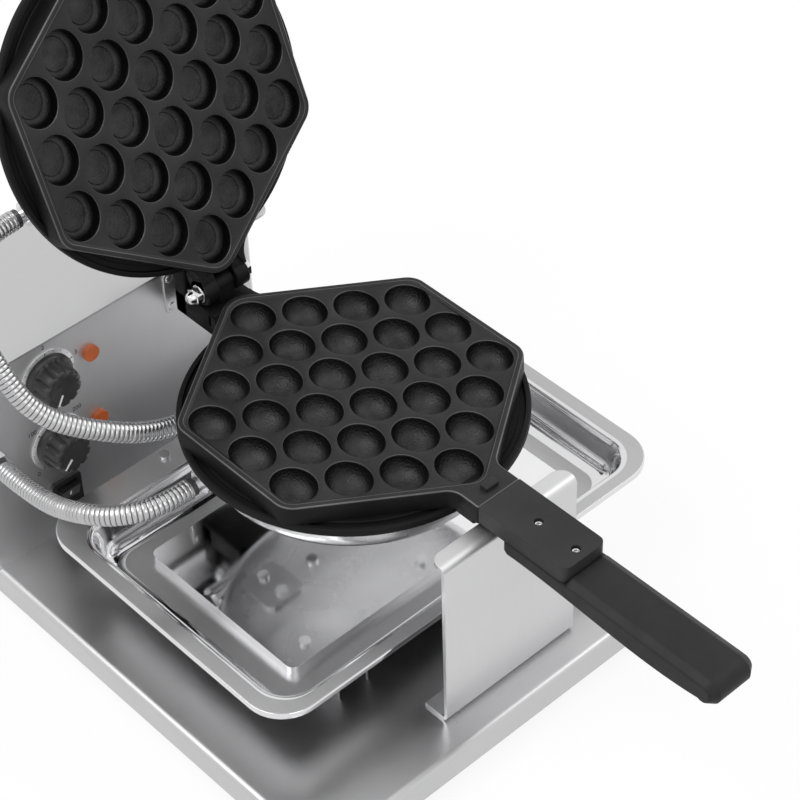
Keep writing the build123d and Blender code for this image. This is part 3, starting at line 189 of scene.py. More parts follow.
def cast_material(name, dark, light, rough, edge, gloss, grain=0.00010):
    """Cast aluminium: fine sand grain and faint stains, over edges that may be rounded."""
    material, nodes, links, shader = new_material(name)
    place = coordinates(nodes, links)
    stains = noise(nodes, links, place, 22.0, 5.0)
    stops = ((0.3, grey(dark)), (0.55, grey((dark + light) / 2)), (0.75, grey(light)))
    links.new(ramp(nodes, links, stains, stops), shader.inputs["Base Color"])
    links.new(spread(nodes, links, noise(nodes, links, place, 60.0), rough - 0.06, rough + 0.08),
              shader.inputs["Roughness"])
    shader.inputs["Specular IOR Level"].default_value = gloss
    surface_relief(nodes, links, shader, noise(nodes, links, place, 750.0, 3.0), grain, edge)
    return material


def well_material(name, dark, light, rough, gloss):
    """Cast wells: near black at the lip, and painted lighter towards the bottom as a painted highlight, in
    blotches with a sandy grain.
    """
    material, nodes, links, shader = new_material(name)
    place = coordinates(nodes, links)
    # Painted highlight: the colour grows lighter with the depth down each well
    depth = nodes.new("ShaderNodeAttribute")
    depth.attribute_name = BOWL_DEPTH
    painted_highlight = nodes.new("ShaderNodeMapRange")
    painted_highlight.interpolation_type = "SMOOTHSTEP"
    painted_highlight.inputs["From Min"].default_value = 0.55
    painted_highlight.inputs["From Max"].default_value = 1.0
    links.new(depth.outputs["Fac"], painted_highlight.inputs["Value"])
    patchy = nodes.new("ShaderNodeMath")
    patchy.operation = "MULTIPLY"
    links.new(painted_highlight.outputs["Result"], patchy.inputs[0])
    blotches = noise(nodes, links, place, 95.0, 5.0)
    links.new(spread(nodes, links, blotches, 0.30, 1.0), patchy.inputs[1])
    links.new(ramp(nodes, links, patchy.outputs["Value"], ((0.0, grey(dark)), (1.0, grey(light)))),
              shader.inputs["Base Color"])
    links.new(spread(nodes, links, noise(nodes, links, place, 60.0), rough - 0.05, rough + 0.08),
              shader.inputs["Roughness"])
    shader.inputs["Specular IOR Level"].default_value = gloss
    surface_relief(nodes, links, shader, noise(nodes, links, place, 800.0, 3.0), 0.0005)
    return material


def brushed_material(name, low, high, rough, stretch, edge=0.0004):
    """Stainless sheet with its grain along one way and faint handling marks."""
    material, nodes, links, shader = new_material(name)
    grain = noise(nodes, links, coordinates(nodes, links, stretch), 900.0, 3.0, 0.6)
    marks = noise(nodes, links, coordinates(nodes, links), 14.0, 4.0)
    colour = ramp(nodes, links, grain, ((0.25, grey(low)), (0.75, grey(high))))
    links.new(colour, shader.inputs["Base Color"])
    links.new(spread(nodes, links, marks, rough - 0.05, rough + 0.06), shader.inputs["Roughness"])
    shader.inputs["Metallic"].default_value = 1.0
    surface_relief(nodes, links, shader, grain, 0.000004, edge)
    return material


def polished_material(name, level, rough, wave):
    """Mirror-finished sheet, slightly wavy as pressed sheet is, with faint smears."""
    material, nodes, links, shader = new_material(name)
    place = coordinates(nodes, links)
    smears = noise(nodes, links, place, 30.0, 4.0)
    links.new(ramp(nodes, links, smears, ((0.3, grey(level * 0.94)), (0.7, grey(level)))),
              shader.inputs["Base Color"])
    links.new(spread(nodes, links, smears, rough * 0.7, rough * 1.5), shader.inputs["Roughness"])
    shader.inputs["Metallic"].default_value = 1.0
    surface_relief(nodes, links, shader, noise(nodes, links, place, 9.0, 1.0), wave, 0.0004)
    return material


def plastic_material(name, level, rough, grain, depth, edge=0.0004, tint=(1, 1, 1), gloss=0.5):
    """Moulded plastic or rubber with a fine texture and uneven sheen."""
    material, nodes, links, shader = new_material(name)
    place = coordinates(nodes, links)
    dark = tuple(level * 0.85 * part for part in tint)
    light = tuple(level * 1.15 * part for part in tint)
    links.new(ramp(nodes, links, noise(nodes, links, place, 40.0), ((0.3, dark), (0.7, light))),
              shader.inputs["Base Color"])
    links.new(spread(nodes, links, noise(nodes, links, place, 90.0), rough - 0.06, rough + 0.06),
              shader.inputs["Roughness"])
    shader.inputs["Specular IOR Level"].default_value = gloss
    surface_relief(nodes, links, shader, noise(nodes, links, place, grain, 2.0), depth, edge)
    return material


# Castings: dark and light level, roughness, edge radius, gloss, depth of the grain
CAST = cast_material("cast_seasoned", 0.009, 0.022, 0.50, 0.0, 0.26, 0.00022)
# Wells: near black at the lip, with a painted highlight towards the bottom
CAST_WELL_HIGHLIGHT = well_material("cast_well_highlight", 0.0015, 0.046, 0.34, 0.24)
# Painted shade: walls, undersides, knuckles and the disc with its groove in a darker copy of the cast
CAST_SIDE_SHADE = cast_material("cast_side_shade", 0.003, 0.008, 0.52, 0.0, 0.14)
# Painted highlight: rounded rims and well lips in a lighter copy of the cast
CAST_EDGE_HIGHLIGHT = cast_material("cast_edge_highlight", 0.040, 0.110, 0.36, 0.0, 0.50)
CAST_BAR = cast_material("cast_bar", 0.016, 0.028, 0.52, 0.0006, 0.26)
BARE_CAST = cast_material("cast_bare", 0.36, 0.46, 0.46, 0.0, 0.50)

# Brushed sheet: low and high level, roughness, stretch of the grain, edge radius
STEEL_X = brushed_material("steel_along_x", 0.54, 0.56, 0.32, (0.03, 1, 1))
STEEL_Z = brushed_material("steel_along_z", 0.625, 0.638, 0.42, (1, 1, 0.03))
# Painted light: the same brushed steel as along z, made lighter for the housing
STEEL_FRONT_LIT = brushed_material("steel_housing_lit", 0.73, 0.75, 0.42, (1, 1, 0.03))
DIAL = brushed_material("dial_aluminium", 0.60, 0.68, 0.36, (1, 0.03, 1))
PRESSED_FLAT = brushed_material("pressed_flat", 0.44, 0.47, 0.36, (1, 0.05, 1), 0.0)

# Polished metal: level, roughness, depth of its waves
DISH_STEEL = polished_material("dish_steel", 0.74, 0.24, 0.0003)
MIRROR = polished_material("mirror_sheet", 0.86, 0.06, 0.0003)
PRESSED = polished_material("pressed_sheet", 0.74, 0.08, 0.0002)
SCREW_STEEL = polished_material("screw_steel", 0.62, 0.28, 0.00001)
CHROME = polished_material("bright_metal", 0.75, 0.10, 0.00002)
HOSE = polished_material("hose_steel", 0.50, 0.24, 0.00002)
# Painted shade: a dark copy of the hose steel for the grooves between the rolls
HOSE_GROOVE_SHADE = polished_material("hose_groove_shade", 0.10, 0.40, 0.00001)

# Plastics: level, roughness, scale and depth of the grain, edge radius, tint
GRIP = plastic_material("grip_phenolic", 0.018, 0.50, 500.0, 0.00005, 0.0025, gloss=0.18)
RUBBER = plastic_material("rubber", 0.020, 0.62, 260.0, 0.00010)
BLACK = plastic_material("black_plastic", 0.018, 0.34, 800.0, 0.00003)
LAMP = plastic_material("lamp_lens", 0.55, 0.12, 200.0, 0.00002, 0.0003, (1.0, 0.22, 0.05))
PORCELAIN = plastic_material("porcelain", 0.72, 0.22, 120.0, 0.00004, 0.0003, (1.0, 0.98, 0.93))
PRINT = plastic_material("dial_print", 0.02, 0.5, 300.0, 0.00001, 0.0)
WHITE_PRINT = plastic_material("white_print", 0.80, 0.5, 300.0, 0.00001, 0.0)


# Mesh tools: everything is drawn in millimetres and set in place by a matrix
MERGE_DISTANCE = 2e-6

# Least radius of a ring's corner, so that no ring closes to a point
LEAST_RADIUS = 0.05

# Steps round a corner of a block, of an outline and of the drip pan
BLOCK_STEPS = 6
OUTLINE_STEPS = 8
TRAY_STEPS = 10


def add_object(name, data):
    """Object for a mesh, curve, text, light or camera, linked to the scene."""
    thing = bpy.data.objects.new(name, data)
    bpy.context.scene.collection.objects.link(thing)
    return thing


class Shape:
    """Points and faces being gathered for one piece, with a material number for each face."""

    def __init__(self):
        self.points = []
        self.faces = []
        self.kinds = []

    def loops(self, rings, kind=0, cap_first=False, cap_last=False):
        """Skin a run of rings that have the same number of points."""
        count = len(rings[0])
        base = len(self.points)
        for ring in rings:
            self.points.extend(ring)
        for row in range(len(rings) - 1):
            for col in range(count):
                a = base + row * count + col
                b = base + row * count + (col + 1) % count
                self.faces.append((a, b, b + count, a + count))
                self.kinds.append(kind)
        if cap_first:
            self.faces.append(tuple(base + i for i in range(count))[::-1])
            self.kinds.append(kind)
        if cap_last:
            self.faces.append(tuple(base + (len(rings) - 1) * count + i for i in range(count)))
            self.kinds.append(kind)

    def turned(self, profile, sides, kind=0, x=0.0, y=0.0):
        """Turn a (radius, level) profile about an upright line and close both of its ends."""
        self.loops([circle(radius, z, sides, x, y) for radius, z in profile], kind,
                   cap_first=True, cap_last=True)

    def holed_face(self, outer, holes, kind=0):
        """Flat face between an outer ring and the rings of its holes."""
        flat = bmesh.new()
        edges = []
        for ring in [outer] + holes:
            verts = [flat.verts.new(p) for p in ring]
            edges += [flat.edges.new((a, b)) for a, b in zip(verts, verts[1:] + verts[:1])]
        bmesh.ops.triangle_fill(flat, use_beauty=True, edges=edges)
        flat.verts.index_update()
        base = len(self.points)
        self.points.extend([tuple(v.co) for v in flat.verts])
        for face in flat.faces:
            self.faces.append(tuple(base + v.index for v in face.verts))
            self.kinds.append(kind)
        flat.free()

    def make(self, name, materials, matrix, body, *replaced, sharp=35):
        """Turn what was gathered into a piece."""
        mesh = bpy.data.meshes.new(name)
        mesh.from_pydata([tuple(matrix @ Vector(p)) for p in self.points], [], self.faces)
        for slot_material in materials:
            mesh.materials.append(slot_material)
        mesh.polygons.foreach_set("material_index", self.kinds)
        tidy = bmesh.new()
        tidy.from_mesh(mesh)
        bmesh.ops.remove_doubles(tidy, verts=tidy.verts, dist=MERGE_DISTANCE)
        bmesh.ops.recalc_face_normals(tidy, faces=tidy.faces)
        tidy.to_mesh(mesh)
        tidy.free()
        mesh.polygons.foreach_set("use_smooth", [True] * len(mesh.polygons))
        mesh.set_sharp_from_angle(angle=radians(sharp))
        thing = add_object(name, mesh)
        if body:
            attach(thing, body)
        if replaced:
            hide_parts(*replaced)
        return thing


def circle(radius, z, count, x=0.0, y=0.0, oval=1.0):
    """Ring of a circle or, with oval, of an ellipse that is longer along Y."""
    angles = [2 * pi * i / count for i in range(count)]
    return [(x + radius * cos(angle), y + oval * radius * sin(angle), z) for angle in angles]


def rounded(corners, radius, z, inset, steps):
    """Ring of a rectangle with rounded corners, listed counterclockwise, moved inwards."""
    ring = []
    count = len(corners)
    for i, corner in enumerate(corners):
        before, after = corners[i - 1], corners[(i + 1) % count]
        to_before = Vector((before[0] - corner[0], before[1] - corner[1])).normalized()
        to_after = Vector((after[0] - corner[0], after[1] - corner[1])).normalized()
        half = to_before.angle(to_after) / 2
        centre = Vector(corner) + (to_before + to_after).normalized() * radius / sin(half)
        start = Vector((-to_before.y, to_before.x))
        if start.dot(to_after) > 0:
            start = -start
        sweep = pi - 2 * half
        first = atan2(start.y, start.x)
        reach = max(radius - inset, LEAST_RADIUS)
        for step in range(steps + 1):
            angle = first + sweep * step / steps
            ring.append((centre.x + reach * cos(angle), centre.y + reach * sin(angle), z))
    return ring


def outline(corners, inset, z):
    """Ring of a polygon whose corners (x, y, radius) turn either way, moved inwards by inset."""
    ring = []
    count = len(corners)
    for i, (x, y, radius) in enumerate(corners):
        before, after = corners[i - 1], corners[(i + 1) % count]
        inward = Vector((x - before[0], y - before[1])).normalized()
        outward = Vector((after[0] - x, after[1] - y)).normalized()
        turn = atan2(inward.cross(outward), inward.dot(outward))
        side = 1 if turn > 0 else -1
        reach = radius * abs(tan(turn / 2))
        start = Vector((x, y)) - inward * reach
        centre = start + Vector((-inward.y, inward.x)) * side * radius
        first = atan2(start.y - centre.y, start.x - centre.x)
        arm = max(radius - side * inset, LEAST_RADIUS)
        for step in range(OUTLINE_STEPS + 1):
            angle = first + turn * step / OUTLINE_STEPS
            ring.append((centre.x + arm * cos(angle), centre.y + arm * sin(angle), z))
    return ring


def box_corners(left, right, front, rear):
    """Corners of a rectangle, counterclockwise."""
    return [(right, rear), (left, rear), (left, front), (right, front)]


def slab(shape, box, radius, low, high, edge, kind):
    """Block over a rectangle, between two levels, with rounded corners and soft edges."""
    corners = box_corners(*box)
    turn = 1 if high > low else -1
    part = edge * 0.3
    levels = [(edge, low), (part, low + turn * part), (0, low + turn * edge),
              (0, high - turn * edge), (part, high - turn * part), (edge, high)]
    shape.loops([rounded(corners, radius, z, inset, BLOCK_STEPS) for inset, z in levels], kind,
                cap_first=True, cap_last=True)


def hexagon():
    """Sharp corners of the cast block, counterclockwise."""
    return [(HEX_FLAT, HEX_SIDE), (0, HEX_TIP), (-HEX_FLAT, HEX_SIDE),
            (-HEX_FLAT, -HEX_SIDE), (0, -HEX_TIP), (HEX_FLAT, -HEX_SIDE)]


def well_points():
    """Centres of the wells, column by column."""
    return [(column * WELL_PITCH_X, (row - (count - 1) / 2) * WELL_PITCH_Y)
            for column, count in WELL_COLUMNS for row in range(count)]


# Rings of a well from its lip down: share of its width, and depth under the face
WELL_RINGS = ((1.045, 0.0), (1.022, 0.12), (1.0, 0.65), (0.985, 1.9), (0.955, 3.4), (0.91, 4.9),
              (0.85, 6.3), (0.77, 7.7), (0.67, 8.95), (0.55, 10.0), (0.42, 10.8), (0.28, 11.3),
              (0.12, 11.55))

# The lid's cups have a flatter floor inside a faint ring
LID_WELL_RINGS = ((1.045, 0.0), (1.022, 0.12), (1.0, 0.65), (0.99, 2.6), (0.975, 5.2), (0.95, 7.4),
                  (0.90, 9.2), (0.82, 10.3), (0.74, 10.8), (0.705, 10.8), (0.68, 10.35),
                  (0.655, 10.8), (0.30, 11.2))

# A casting's profiles from its parting face down: (inset, level) of the wall and of the rim's
# inner side, (radius, level) of the disc with its groove
WALL = ((1.1, 0), (0.75, 0.05), (0.35, 0.28), (0.08, 0.62), (0, 1.1), (-0.15, 6.0),
        (-0.3, HEX_DEPTH))
RIM = ((RIM_WIDTH - 0.9, 0), (RIM_WIDTH - 0.5, 0.08), (RIM_WIDTH, RIM_HEIGHT * 0.45),
       (RIM_WIDTH + 0.5, RIM_HEIGHT * 0.88), (RIM_WIDTH + 1.2, RIM_HEIGHT))
DISC = ((0.05, HEX_DEPTH), (97.2, HEX_DEPTH), (97.6, HEX_DEPTH + 0.5), (97.8, HEX_DEPTH + 2),
        (101.2, HEX_DEPTH + 2), (101.4, HEX_DEPTH + 0.5), (101.8, HEX_DEPTH),
        (DISC_RADIUS - 0.9, HEX_DEPTH), (DISC_RADIUS - 0.3, HEX_DEPTH + 0.25),
        (DISC_RADIUS, HEX_DEPTH + 0.9), (DISC_RADIUS, DISC_DEPTH - 0.7),
        (DISC_RADIUS - 0.7, DISC_DEPTH), (0.05, DISC_DEPTH))

# Blocks at the neck: (left, right, front, rear), corner radius, first and last level, soft edge
LOWER_BLOCKS = (((-NECK_HALF, NECK_HALF, -146, -106.5), 1.5, 2.1, NECK_DEPTH, 1.2),
                ((-NECK_HALF, NECK_HALF, -146, -134.3), 1.5, -19, NECK_DEPTH - 0.5, 1.2),
                ((-LUG_HALF, LUG_HALF, -125.4, -113.6), 1.0, -10, 6, 0.8))
LID_BLOCKS = (((-NECK_HALF, -EAR_INSIDE, HINGE_Y, -108.6), 1.5, 2.2, LID_NECK_DEPTH, 0.8),
              ((EAR_INSIDE, NECK_HALF, HINGE_Y, -108.6), 1.5, 2.2, LID_NECK_DEPTH, 0.8),
              ((-NECK_HALF, NECK_HALF, -110.2, -106.5), 1.5, 2.2, LID_NECK_DEPTH, 0.8))

# Knuckles round the hinge pin: first and last x, level, radius, soft edge
LOWER_KNUCKLES = ((-LUG_HALF, LUG_HALF, -9.5, 5.9, 0.5),)
LID_KNUCKLES = ((-EAR_INSIDE, -NECK_HALF, 9.2, 8.9, 0.6), (EAR_INSIDE, NECK_HALF, 9.2, 8.9, 0.6))

# Locating lug on the lower shank, a block like these, and its socket in the lid's shank
LOCATING_LUG = ((-5, 5, 111.7, 117.7), 1.0, -3, 0.1, 0.6)
SOCKET_BOX = (-5.5, 5.5, 111.2, 118.2)
SOCKET_DEPTH = 3.5
SOCKET_CORNER = 1.2

# The shank's underside starts at this place and level
SHANK_START = 96
SHANK_TOP = 8

# Points round a well, a disc or cover, a knuckle, the half-round journal, a sleeve and a screw
WELL_SIDES = 40
DISC_SIDES = 128
KNUCKLE_SIDES = 40
JOURNAL_SIDES = 24
SLEEVE_SIDES = 40
SCREW_SIDES = 24

# Material slots of a casting; the side slot is painted darker as painted shade, and the edge slot lighter as a
# painted highlight
ON_FACE, IN_WELL, ON_SIDE_SHADE, ON_EDGE_HIGHLIGHT = range(4)


def casting_outline():
    """Corners and radii of the block with its shank, counterclockwise."""
    root = HEX_TIP - (HEX_TIP - HEX_SIDE) / HEX_FLAT * SHANK_HALF
    return [(HEX_FLAT, HEX_SIDE, HEX_CORNER), (SHANK_HALF, root, 11), (SHANK_HALF, SHANK_END, 1.5),
            (-SHANK_HALF, SHANK_END, 1.5), (-SHANK_HALF, root, 11),
            (-HEX_FLAT, HEX_SIDE, HEX_CORNER), (-HEX_FLAT, -HEX_SIDE, HEX_CORNER),
            (0, -HEX_TIP, HINGE_CORNER), (HEX_FLAT, -HEX_SIDE, HEX_CORNER)]


def inner_outline():
    """Corners and radii of the edge inside the raised rim."""
    return [(x, y, HINGE_CORNER if y == -HEX_TIP else HEX_CORNER) for x, y in hexagon()]


def knuckle(shape, x_from, x_to, z, radius, edge):
    """Round knuckle along X with softened ends."""
    turn = 1 if x_to > x_from else -1
    angles = [2 * pi * i / KNUCKLE_SIDES for i in range(KNUCKLE_SIDES)]
    steps = ((x_from, radius - edge), (x_from + turn * edge, radius), (x_to - turn * edge, radius),
             (x_to, radius - edge))
    shape.loops([[(x, HINGE_Y + reach * cos(angle), z + reach * sin(angle)) for angle in angles]
                 for x, reach in steps], ON_SIDE_SHADE, cap_first=True, cap_last=True)


def neck_webs(shape, top):
    """Curved webs that run from the block's rear sides into its neck, from a level down."""
    slope = (HEX_TIP - HEX_SIDE) / HEX_FLAT
    far = -HEX_TIP + slope * WEB_REACH
    half = ((WEB_REACH, far, 0.4), (NECK_HALF, -HEX_TIP + slope * NECK_HALF, 16),
            (NECK_HALF, -115, 0.4), (12.6, -105.5, 0.4), (WEB_REACH, far + 3, 0.4))
    levels = ((0.5, top), (0.1, top + 0.4), (0, top + 1), (0, HEX_DEPTH - 0.2))
    for side in (-1, 1):
        corners = [(side * x, y, radius) for x, y, radius in half]
        shape.loops([outline(corners, inset * side, z) for inset, z in levels], ON_SIDE_SHADE,
                    cap_first=True, cap_last=True)


def pan_block(shape, lid):
    """Hexagonal block with its shank's face, the raised rim and, in the lid, the lug's socket."""
    edge = casting_outline()
    inner = inner_outline()
    wall = [outline(edge, inset, z) for inset, z in WALL]
    rim = [outline(inner, inset, z) for inset, z in RIM]
    shape.loops(wall[:2], ON_FACE)
    shape.loops(wall[1:4], ON_EDGE_HIGHLIGHT)
    shape.loops(wall[3:5], ON_FACE)
    shape.loops(wall[4:], ON_SIDE_SHADE, cap_last=True)
    holes = [rim[0]]
    if lid:
        socket = [rounded(box_corners(*SOCKET_BOX), SOCKET_CORNER, z, 0, OUTLINE_STEPS)
                  for z in (0, SOCKET_DEPTH)]
        shape.loops(socket, ON_SIDE_SHADE, cap_last=True)
        holes.append(socket[0])
    shape.holed_face(wall[0], holes, ON_FACE)
    shape.loops(rim[:2], ON_EDGE_HIGHLIGHT)
    shape.loops(rim[1:], ON_FACE)


def pan_wells(shape, rings):
    """Face inside the rim and the wells in it."""

    def well_ring(x, y, share, depth):
        """Oval ring of the well that is centred on a point."""
        return circle(WELL_A * share, RIM_HEIGHT + depth, WELL_SIDES, x, y, WELL_B / WELL_A)

    wells = well_points()
    shape.holed_face(outline(inner_outline(), *RIM[-1]),
                     [well_ring(x, y, *rings[0]) for x, y in wells], ON_FACE)
    for x, y in wells:
        bowl = [well_ring(x, y, share, depth) for share, depth in rings]
        shape.loops(bowl[:2], ON_FACE)
        shape.loops(bowl[1:3], ON_EDGE_HIGHLIGHT)
        shape.loops(bowl[2:], IN_WELL, cap_last=True)


def pan_shank(shape):
    """Underside of the shank and the half-round journal at its end."""
    journal = SHANK_END - JOURNAL_LENGTH
    slab(shape, (-SHANK_HALF, SHANK_HALF, SHANK_START, journal + 0.5), 1.5, SHANK_TOP,
         SHANK_DEPTH, 0.7, ON_SIDE_SHADE)
    angles = [pi * i / JOURNAL_SIDES for i in range(JOURNAL_SIDES + 1)]
    half_round = [(SHANK_HALF * cos(angle), SHANK_HALF * sin(angle)) for angle in angles]
    shape.loops([[(x, y, max(z, SHANK_TOP)) for x, z in half_round] for y in (journal, SHANK_END)],
                ON_SIDE_SHADE, cap_first=True, cap_last=True)


def cast_pan(name, matrix, body, lid):
    """A whole casting: rimmed hexagonal block with wells, disc, shank and hinge parts."""
    shape = Shape()
    pan_block(shape, lid)
    pan_wells(shape, LID_WELL_RINGS if lid else WELL_RINGS)
    shape.turned(DISC, DISC_SIDES, ON_SIDE_SHADE)
    pan_shank(shape)
    neck_webs(shape, 0.9 if lid else 3.0)
    for block in LID_BLOCKS if lid else LOWER_BLOCKS:
        slab(shape, *block, ON_SIDE_SHADE)
    for sizes in LID_KNUCKLES if lid else LOWER_KNUCKLES:
        knuckle(shape, *sizes)
    if not lid:
        slab(shape, *LOCATING_LUG, ON_FACE)
    casting = shape.make(name, [CAST, CAST_WELL_HIGHLIGHT, CAST_SIDE_SHADE, CAST_EDGE_HIGHLIGHT], matrix, body,
                         "upper_plate" if lid else "lower_plate")
    # Depth down the wells at each point; the well material paints lighter with it, as a painted highlight
    to_pan = matrix.inverted()
    depths = [(to_pan @ v.co).z - RIM_HEIGHT for v in casting.data.vertices]
    bowl_depth = casting.data.attributes.new(BOWL_DEPTH, "FLOAT", "POINT")
    bowl_depth.data.foreach_set("value", [min(max(depth / WELL_DEPTH, 0.0), 1.0)
                                          for depth in depths])


cast_pan("lower_casting", LOWER, "lower_pan", False)
cast_pan("upper_casting", UPPER, "lid", True)

# Drip pan: outlines (left, right, front, rear) from the pans' axis, levels from the ground
TRAY_OUTER = (-152.6, 162.6, -101.6, 123.0)
TRAY_INNER = (-140.0, 150.0, -91.0, 99.5)
TRAY_CORNER = 26
TRAY_RIM = 81.0
TRAY_SHEET = 1.2

# Its wall from the floor up to the bead: inset, level, corner radius; the sheet's under side
# follows it up to BEAD_ROW
TRAY_WALL = ((15.0, 57.2, 13), (12.0, 57.5, 14), (8.8, 58.8, 15.5), (6.2, 61.0, 17),
             (4.4, 64.0, 18), (3.2, 68.0, 19), (2.3, 73.0, 19.5), (1.5, 77.0, 20),
             (0.9, 79.3, 20), (0.2, 80.5, 20.5), (-0.6, 81.1, 21), (-1.4, 81.25, 21.5),
             (-2.2, 81.1, 22), (-2.8, 81.0, 22.5))
BEAD_ROW = 9

# Its rim outwards from the bead, and the lip that is turned down from there: inset, level
TRAY_EDGE = ((1.4, TRAY_RIM), (0.5, TRAY_RIM - 0.15))
TRAY_LIP = ((0.5, TRAY_RIM - 0.15), (0.1, TRAY_RIM - 0.7), (0, TRAY_RIM - 1.4),
            (0, TRAY_RIM - 4), (TRAY_SHEET, TRAY_RIM - 4), (TRAY_SHEET, TRAY_RIM - TRAY_SHEET))


def tray_ring(box, inset, z, radius):
    """Ring of the drip pan's outline, moved inwards."""
    left, right, front, rear = box
    corners = box_corners(left + inset, right - inset, front + inset, rear - inset)
    return rounded(corners, radius, z, 0, TRAY_STEPS)


def drip_tray():
    """Pressed pan with a curved wall, a beaded inner edge and a rim turned down outside."""
    shape = Shape()
    wall = [tray_ring(TRAY_INNER, inset, z, radius) for inset, z, radius in TRAY_WALL]
    shape.loops(wall[:1] + wall[:1], 1, cap_first=True)
    shape.loops(wall, 0)
    edge = [tray_ring(TRAY_OUTER, inset, z, TRAY_CORNER) for inset, z in TRAY_EDGE]
    shape.loops(wall[-1:] + edge, 1)
    under = [tray_ring(TRAY_OUTER, inset, z, TRAY_CORNER) for inset, z in TRAY_LIP]
    under += [tray_ring(TRAY_INNER, inset - TRAY_SHEET, z - TRAY_SHEET, radius)
              for inset, z, radius in TRAY_WALL[BEAD_ROW::-1]]
    shape.loops(under, 0, cap_last=True)
    shape.make("drip_tray", [PRESSED, PRESSED_FLAT], GROUND, "base", "drip_pan")


drip_tray()

# Bearing on the housing front; its places are from the shaft's axis, its levels from the front
HOUSING_FRONT = 152
BEARING_PLATE = ((-20.5, 20.5, -25.5, 6.5), 4, 0.02, 0.95, 0.3)
BEARING_SLEEVE = ((8.75, -0.02), (8.75, -37.5), (8.3, -38))
BEARING_SCREW = ((2.9, 0.9), (2.8, 1.2), (2.2, 1.5))
BEARING_SCREW_PLACES = ((-16, -20.5), (16, -20.5), (-16, 1.5), (16, 1.5))


def front_matrix(x, y, z):
    """From millimetres on a face that looks to the front (x right, y up, z out) to metres."""
    return (Matrix.Scale(MM, 4) @ Matrix.Translation(Vector((x, y, z)))
            @ Matrix(((1, 0, 0), (0, 0, -1), (0, 1, 0))).to_4x4())


def bearing_block():
    """Plate and sleeve that carry the shaft on the housing front, hidden behind the upstand."""
    shape = Shape()
    slab(shape, *BEARING_PLATE, 1)
    shape.turned(BEARING_SLEEVE, SLEEVE_SIDES)
    for x, y in BEARING_SCREW_PLACES:
        shape.turned(BEARING_SCREW, SCREW_SIDES, 1, x, y)
    shape.make("bearing_block", [BARE_CAST, STEEL_FRONT_LIT],
               front_matrix(PAN_CENTRE.x, PAN_CENTRE.y + HOUSING_FRONT, PAN_CENTRE.z),
               "base", "bearing", "bearing_screws", sharp=20)


bearing_block()

# Spun covers under the discs, closed where the hose sleeves pass
DISH_PROFILE = ((0.05, 18.03), (103.2, 18.03), (103.6, 18.3), (103.5, 18.9), (103.0, 19.2),
                (97.4, 19.2), (96.2, 20.2), (95.5, 24.0), (94.4, 31.0), (93.4, 35.5),
                (91.6, 38.8), (88.6, 41.0), (84.0, 41.95), (70.0, 42.0), (0.05, 42.0))


def cover_dish(name, matrix, body):
    """Cover of one pan, turned from its profile."""
    shape = Shape()
    shape.turned(DISH_PROFILE, DISC_SIDES)
    shape.make(name + "_dish", [DISH_STEEL], matrix, body, name + "_cover")


cover_dish("lower", LOWER, "lower_pan")
cover_dish("upper", UPPER, "lid")

# Fasteners: profiles are (radius, level) or, along the hinge pin, (x, radius, six-sided)
HANDLE_SCREW_Y = (153.7, 182.5)
SOCKET_SCREW = ((0.05, 3.4), (1.3, 3.3), (1.35, 2.1), (2.1, 1.9), (2.5, 2.3), (2.55, 4.5),
                (1.6, 4.6), (1.6, 18.6), (0.05, 18.8))
PIN_SIDES = 36
PIN_PROFILE = ((20.9, 0.05, False), (20.9, 4.0, False), (20.5, 4.9, True), (16.6, 4.9, True),
               (16.6, 3.45, False), (-16.55, 3.45, False), (-16.55, 5.9, False),
               (-17.6, 5.9, False), (-17.65, 4.9, True), (-21.8, 4.9, True),
               (-22.2, 4.2, False), (-24.2, 4.0, False), (-25.8, 3.1, False),
               (-26.7, 1.6, False), (-27.0, 0.05, False))


def handle_screws(name, matrix, body):
    """Two socket screws sunk in a handle bar."""
    shape = Shape()
    for y in HANDLE_SCREW_Y:
        shape.turned(SOCKET_SCREW, SCREW_SIDES, 0, 0, y)
    shape.make(name + "_socket_screws", [SCREW_STEEL], matrix, body, name + "_handle_screws")


def hinge_pin():
    """Hinge bolt with a hexagon head on the right and a washer and domed nut on the left."""
    shape = Shape()
    rings = []
    for x, radius, hexagonal in PIN_PROFILE:
        ring = []
        for i in range(PIN_SIDES):
            angle = 2 * pi * i / PIN_SIDES
            reach = radius / cos((angle + pi / 6) % (pi / 3) - pi / 6) if hexagonal else radius
            ring.append(tuple(HINGE_PIN + Vector((x, reach * cos(angle), reach * sin(angle)))))
        rings.append(ring)
    shape.loops(rings, 0, cap_first=True, cap_last=True)
    shape.make("hinge_pin", [CHROME], Matrix.Scale(MM, 4), NODE_BODIES["hinge_bolt"],
               "hinge_bolt", "hinge_nut")


handle_screws("lower", LOWER, "lower_pan")
handle_screws("upper", UPPER, "lid")
hinge_pin()

# Controls on the housing front: places from the frame, sizes in millimetres
PANEL = {name: [sum(side) / 2 * PER_METRE for side in zip(*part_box(name))]
         for name in ("timer_dial", "thermostat_dial", "switch_bezel")}
PANEL_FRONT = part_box("timer_dial")[1][1] / MM

# Knob: (radius, level) from its seat, the rows that are fluted, and the pointer on its face
KNOB_SEAT = 1.3
KNOB_SIDES = 120
KNOB_PROFILE = ((17.0, 0.0), (17.0, 1.6), (16.6, 2.6), (15.6, 3.4), (14.4, 3.9), (14.2, 4.4),
                (14.0, 6.0), (13.6, 13.2), (13.2, 14.6), (12.4, 15.5), (11.2, 15.9), (9.5, 16.0),
                (8.6, 15.7), (0.05, 15.6))
KNOB_GRIP_ROWS = range(5, 11)
KNOB_FLUTES = 10
KNOB_FLUTE_DEPTH = 1.5
POINTER = (3.5, 11.6, 0.6, KNOB_SEAT + 15.4, KNOB_SEAT + 16.15)

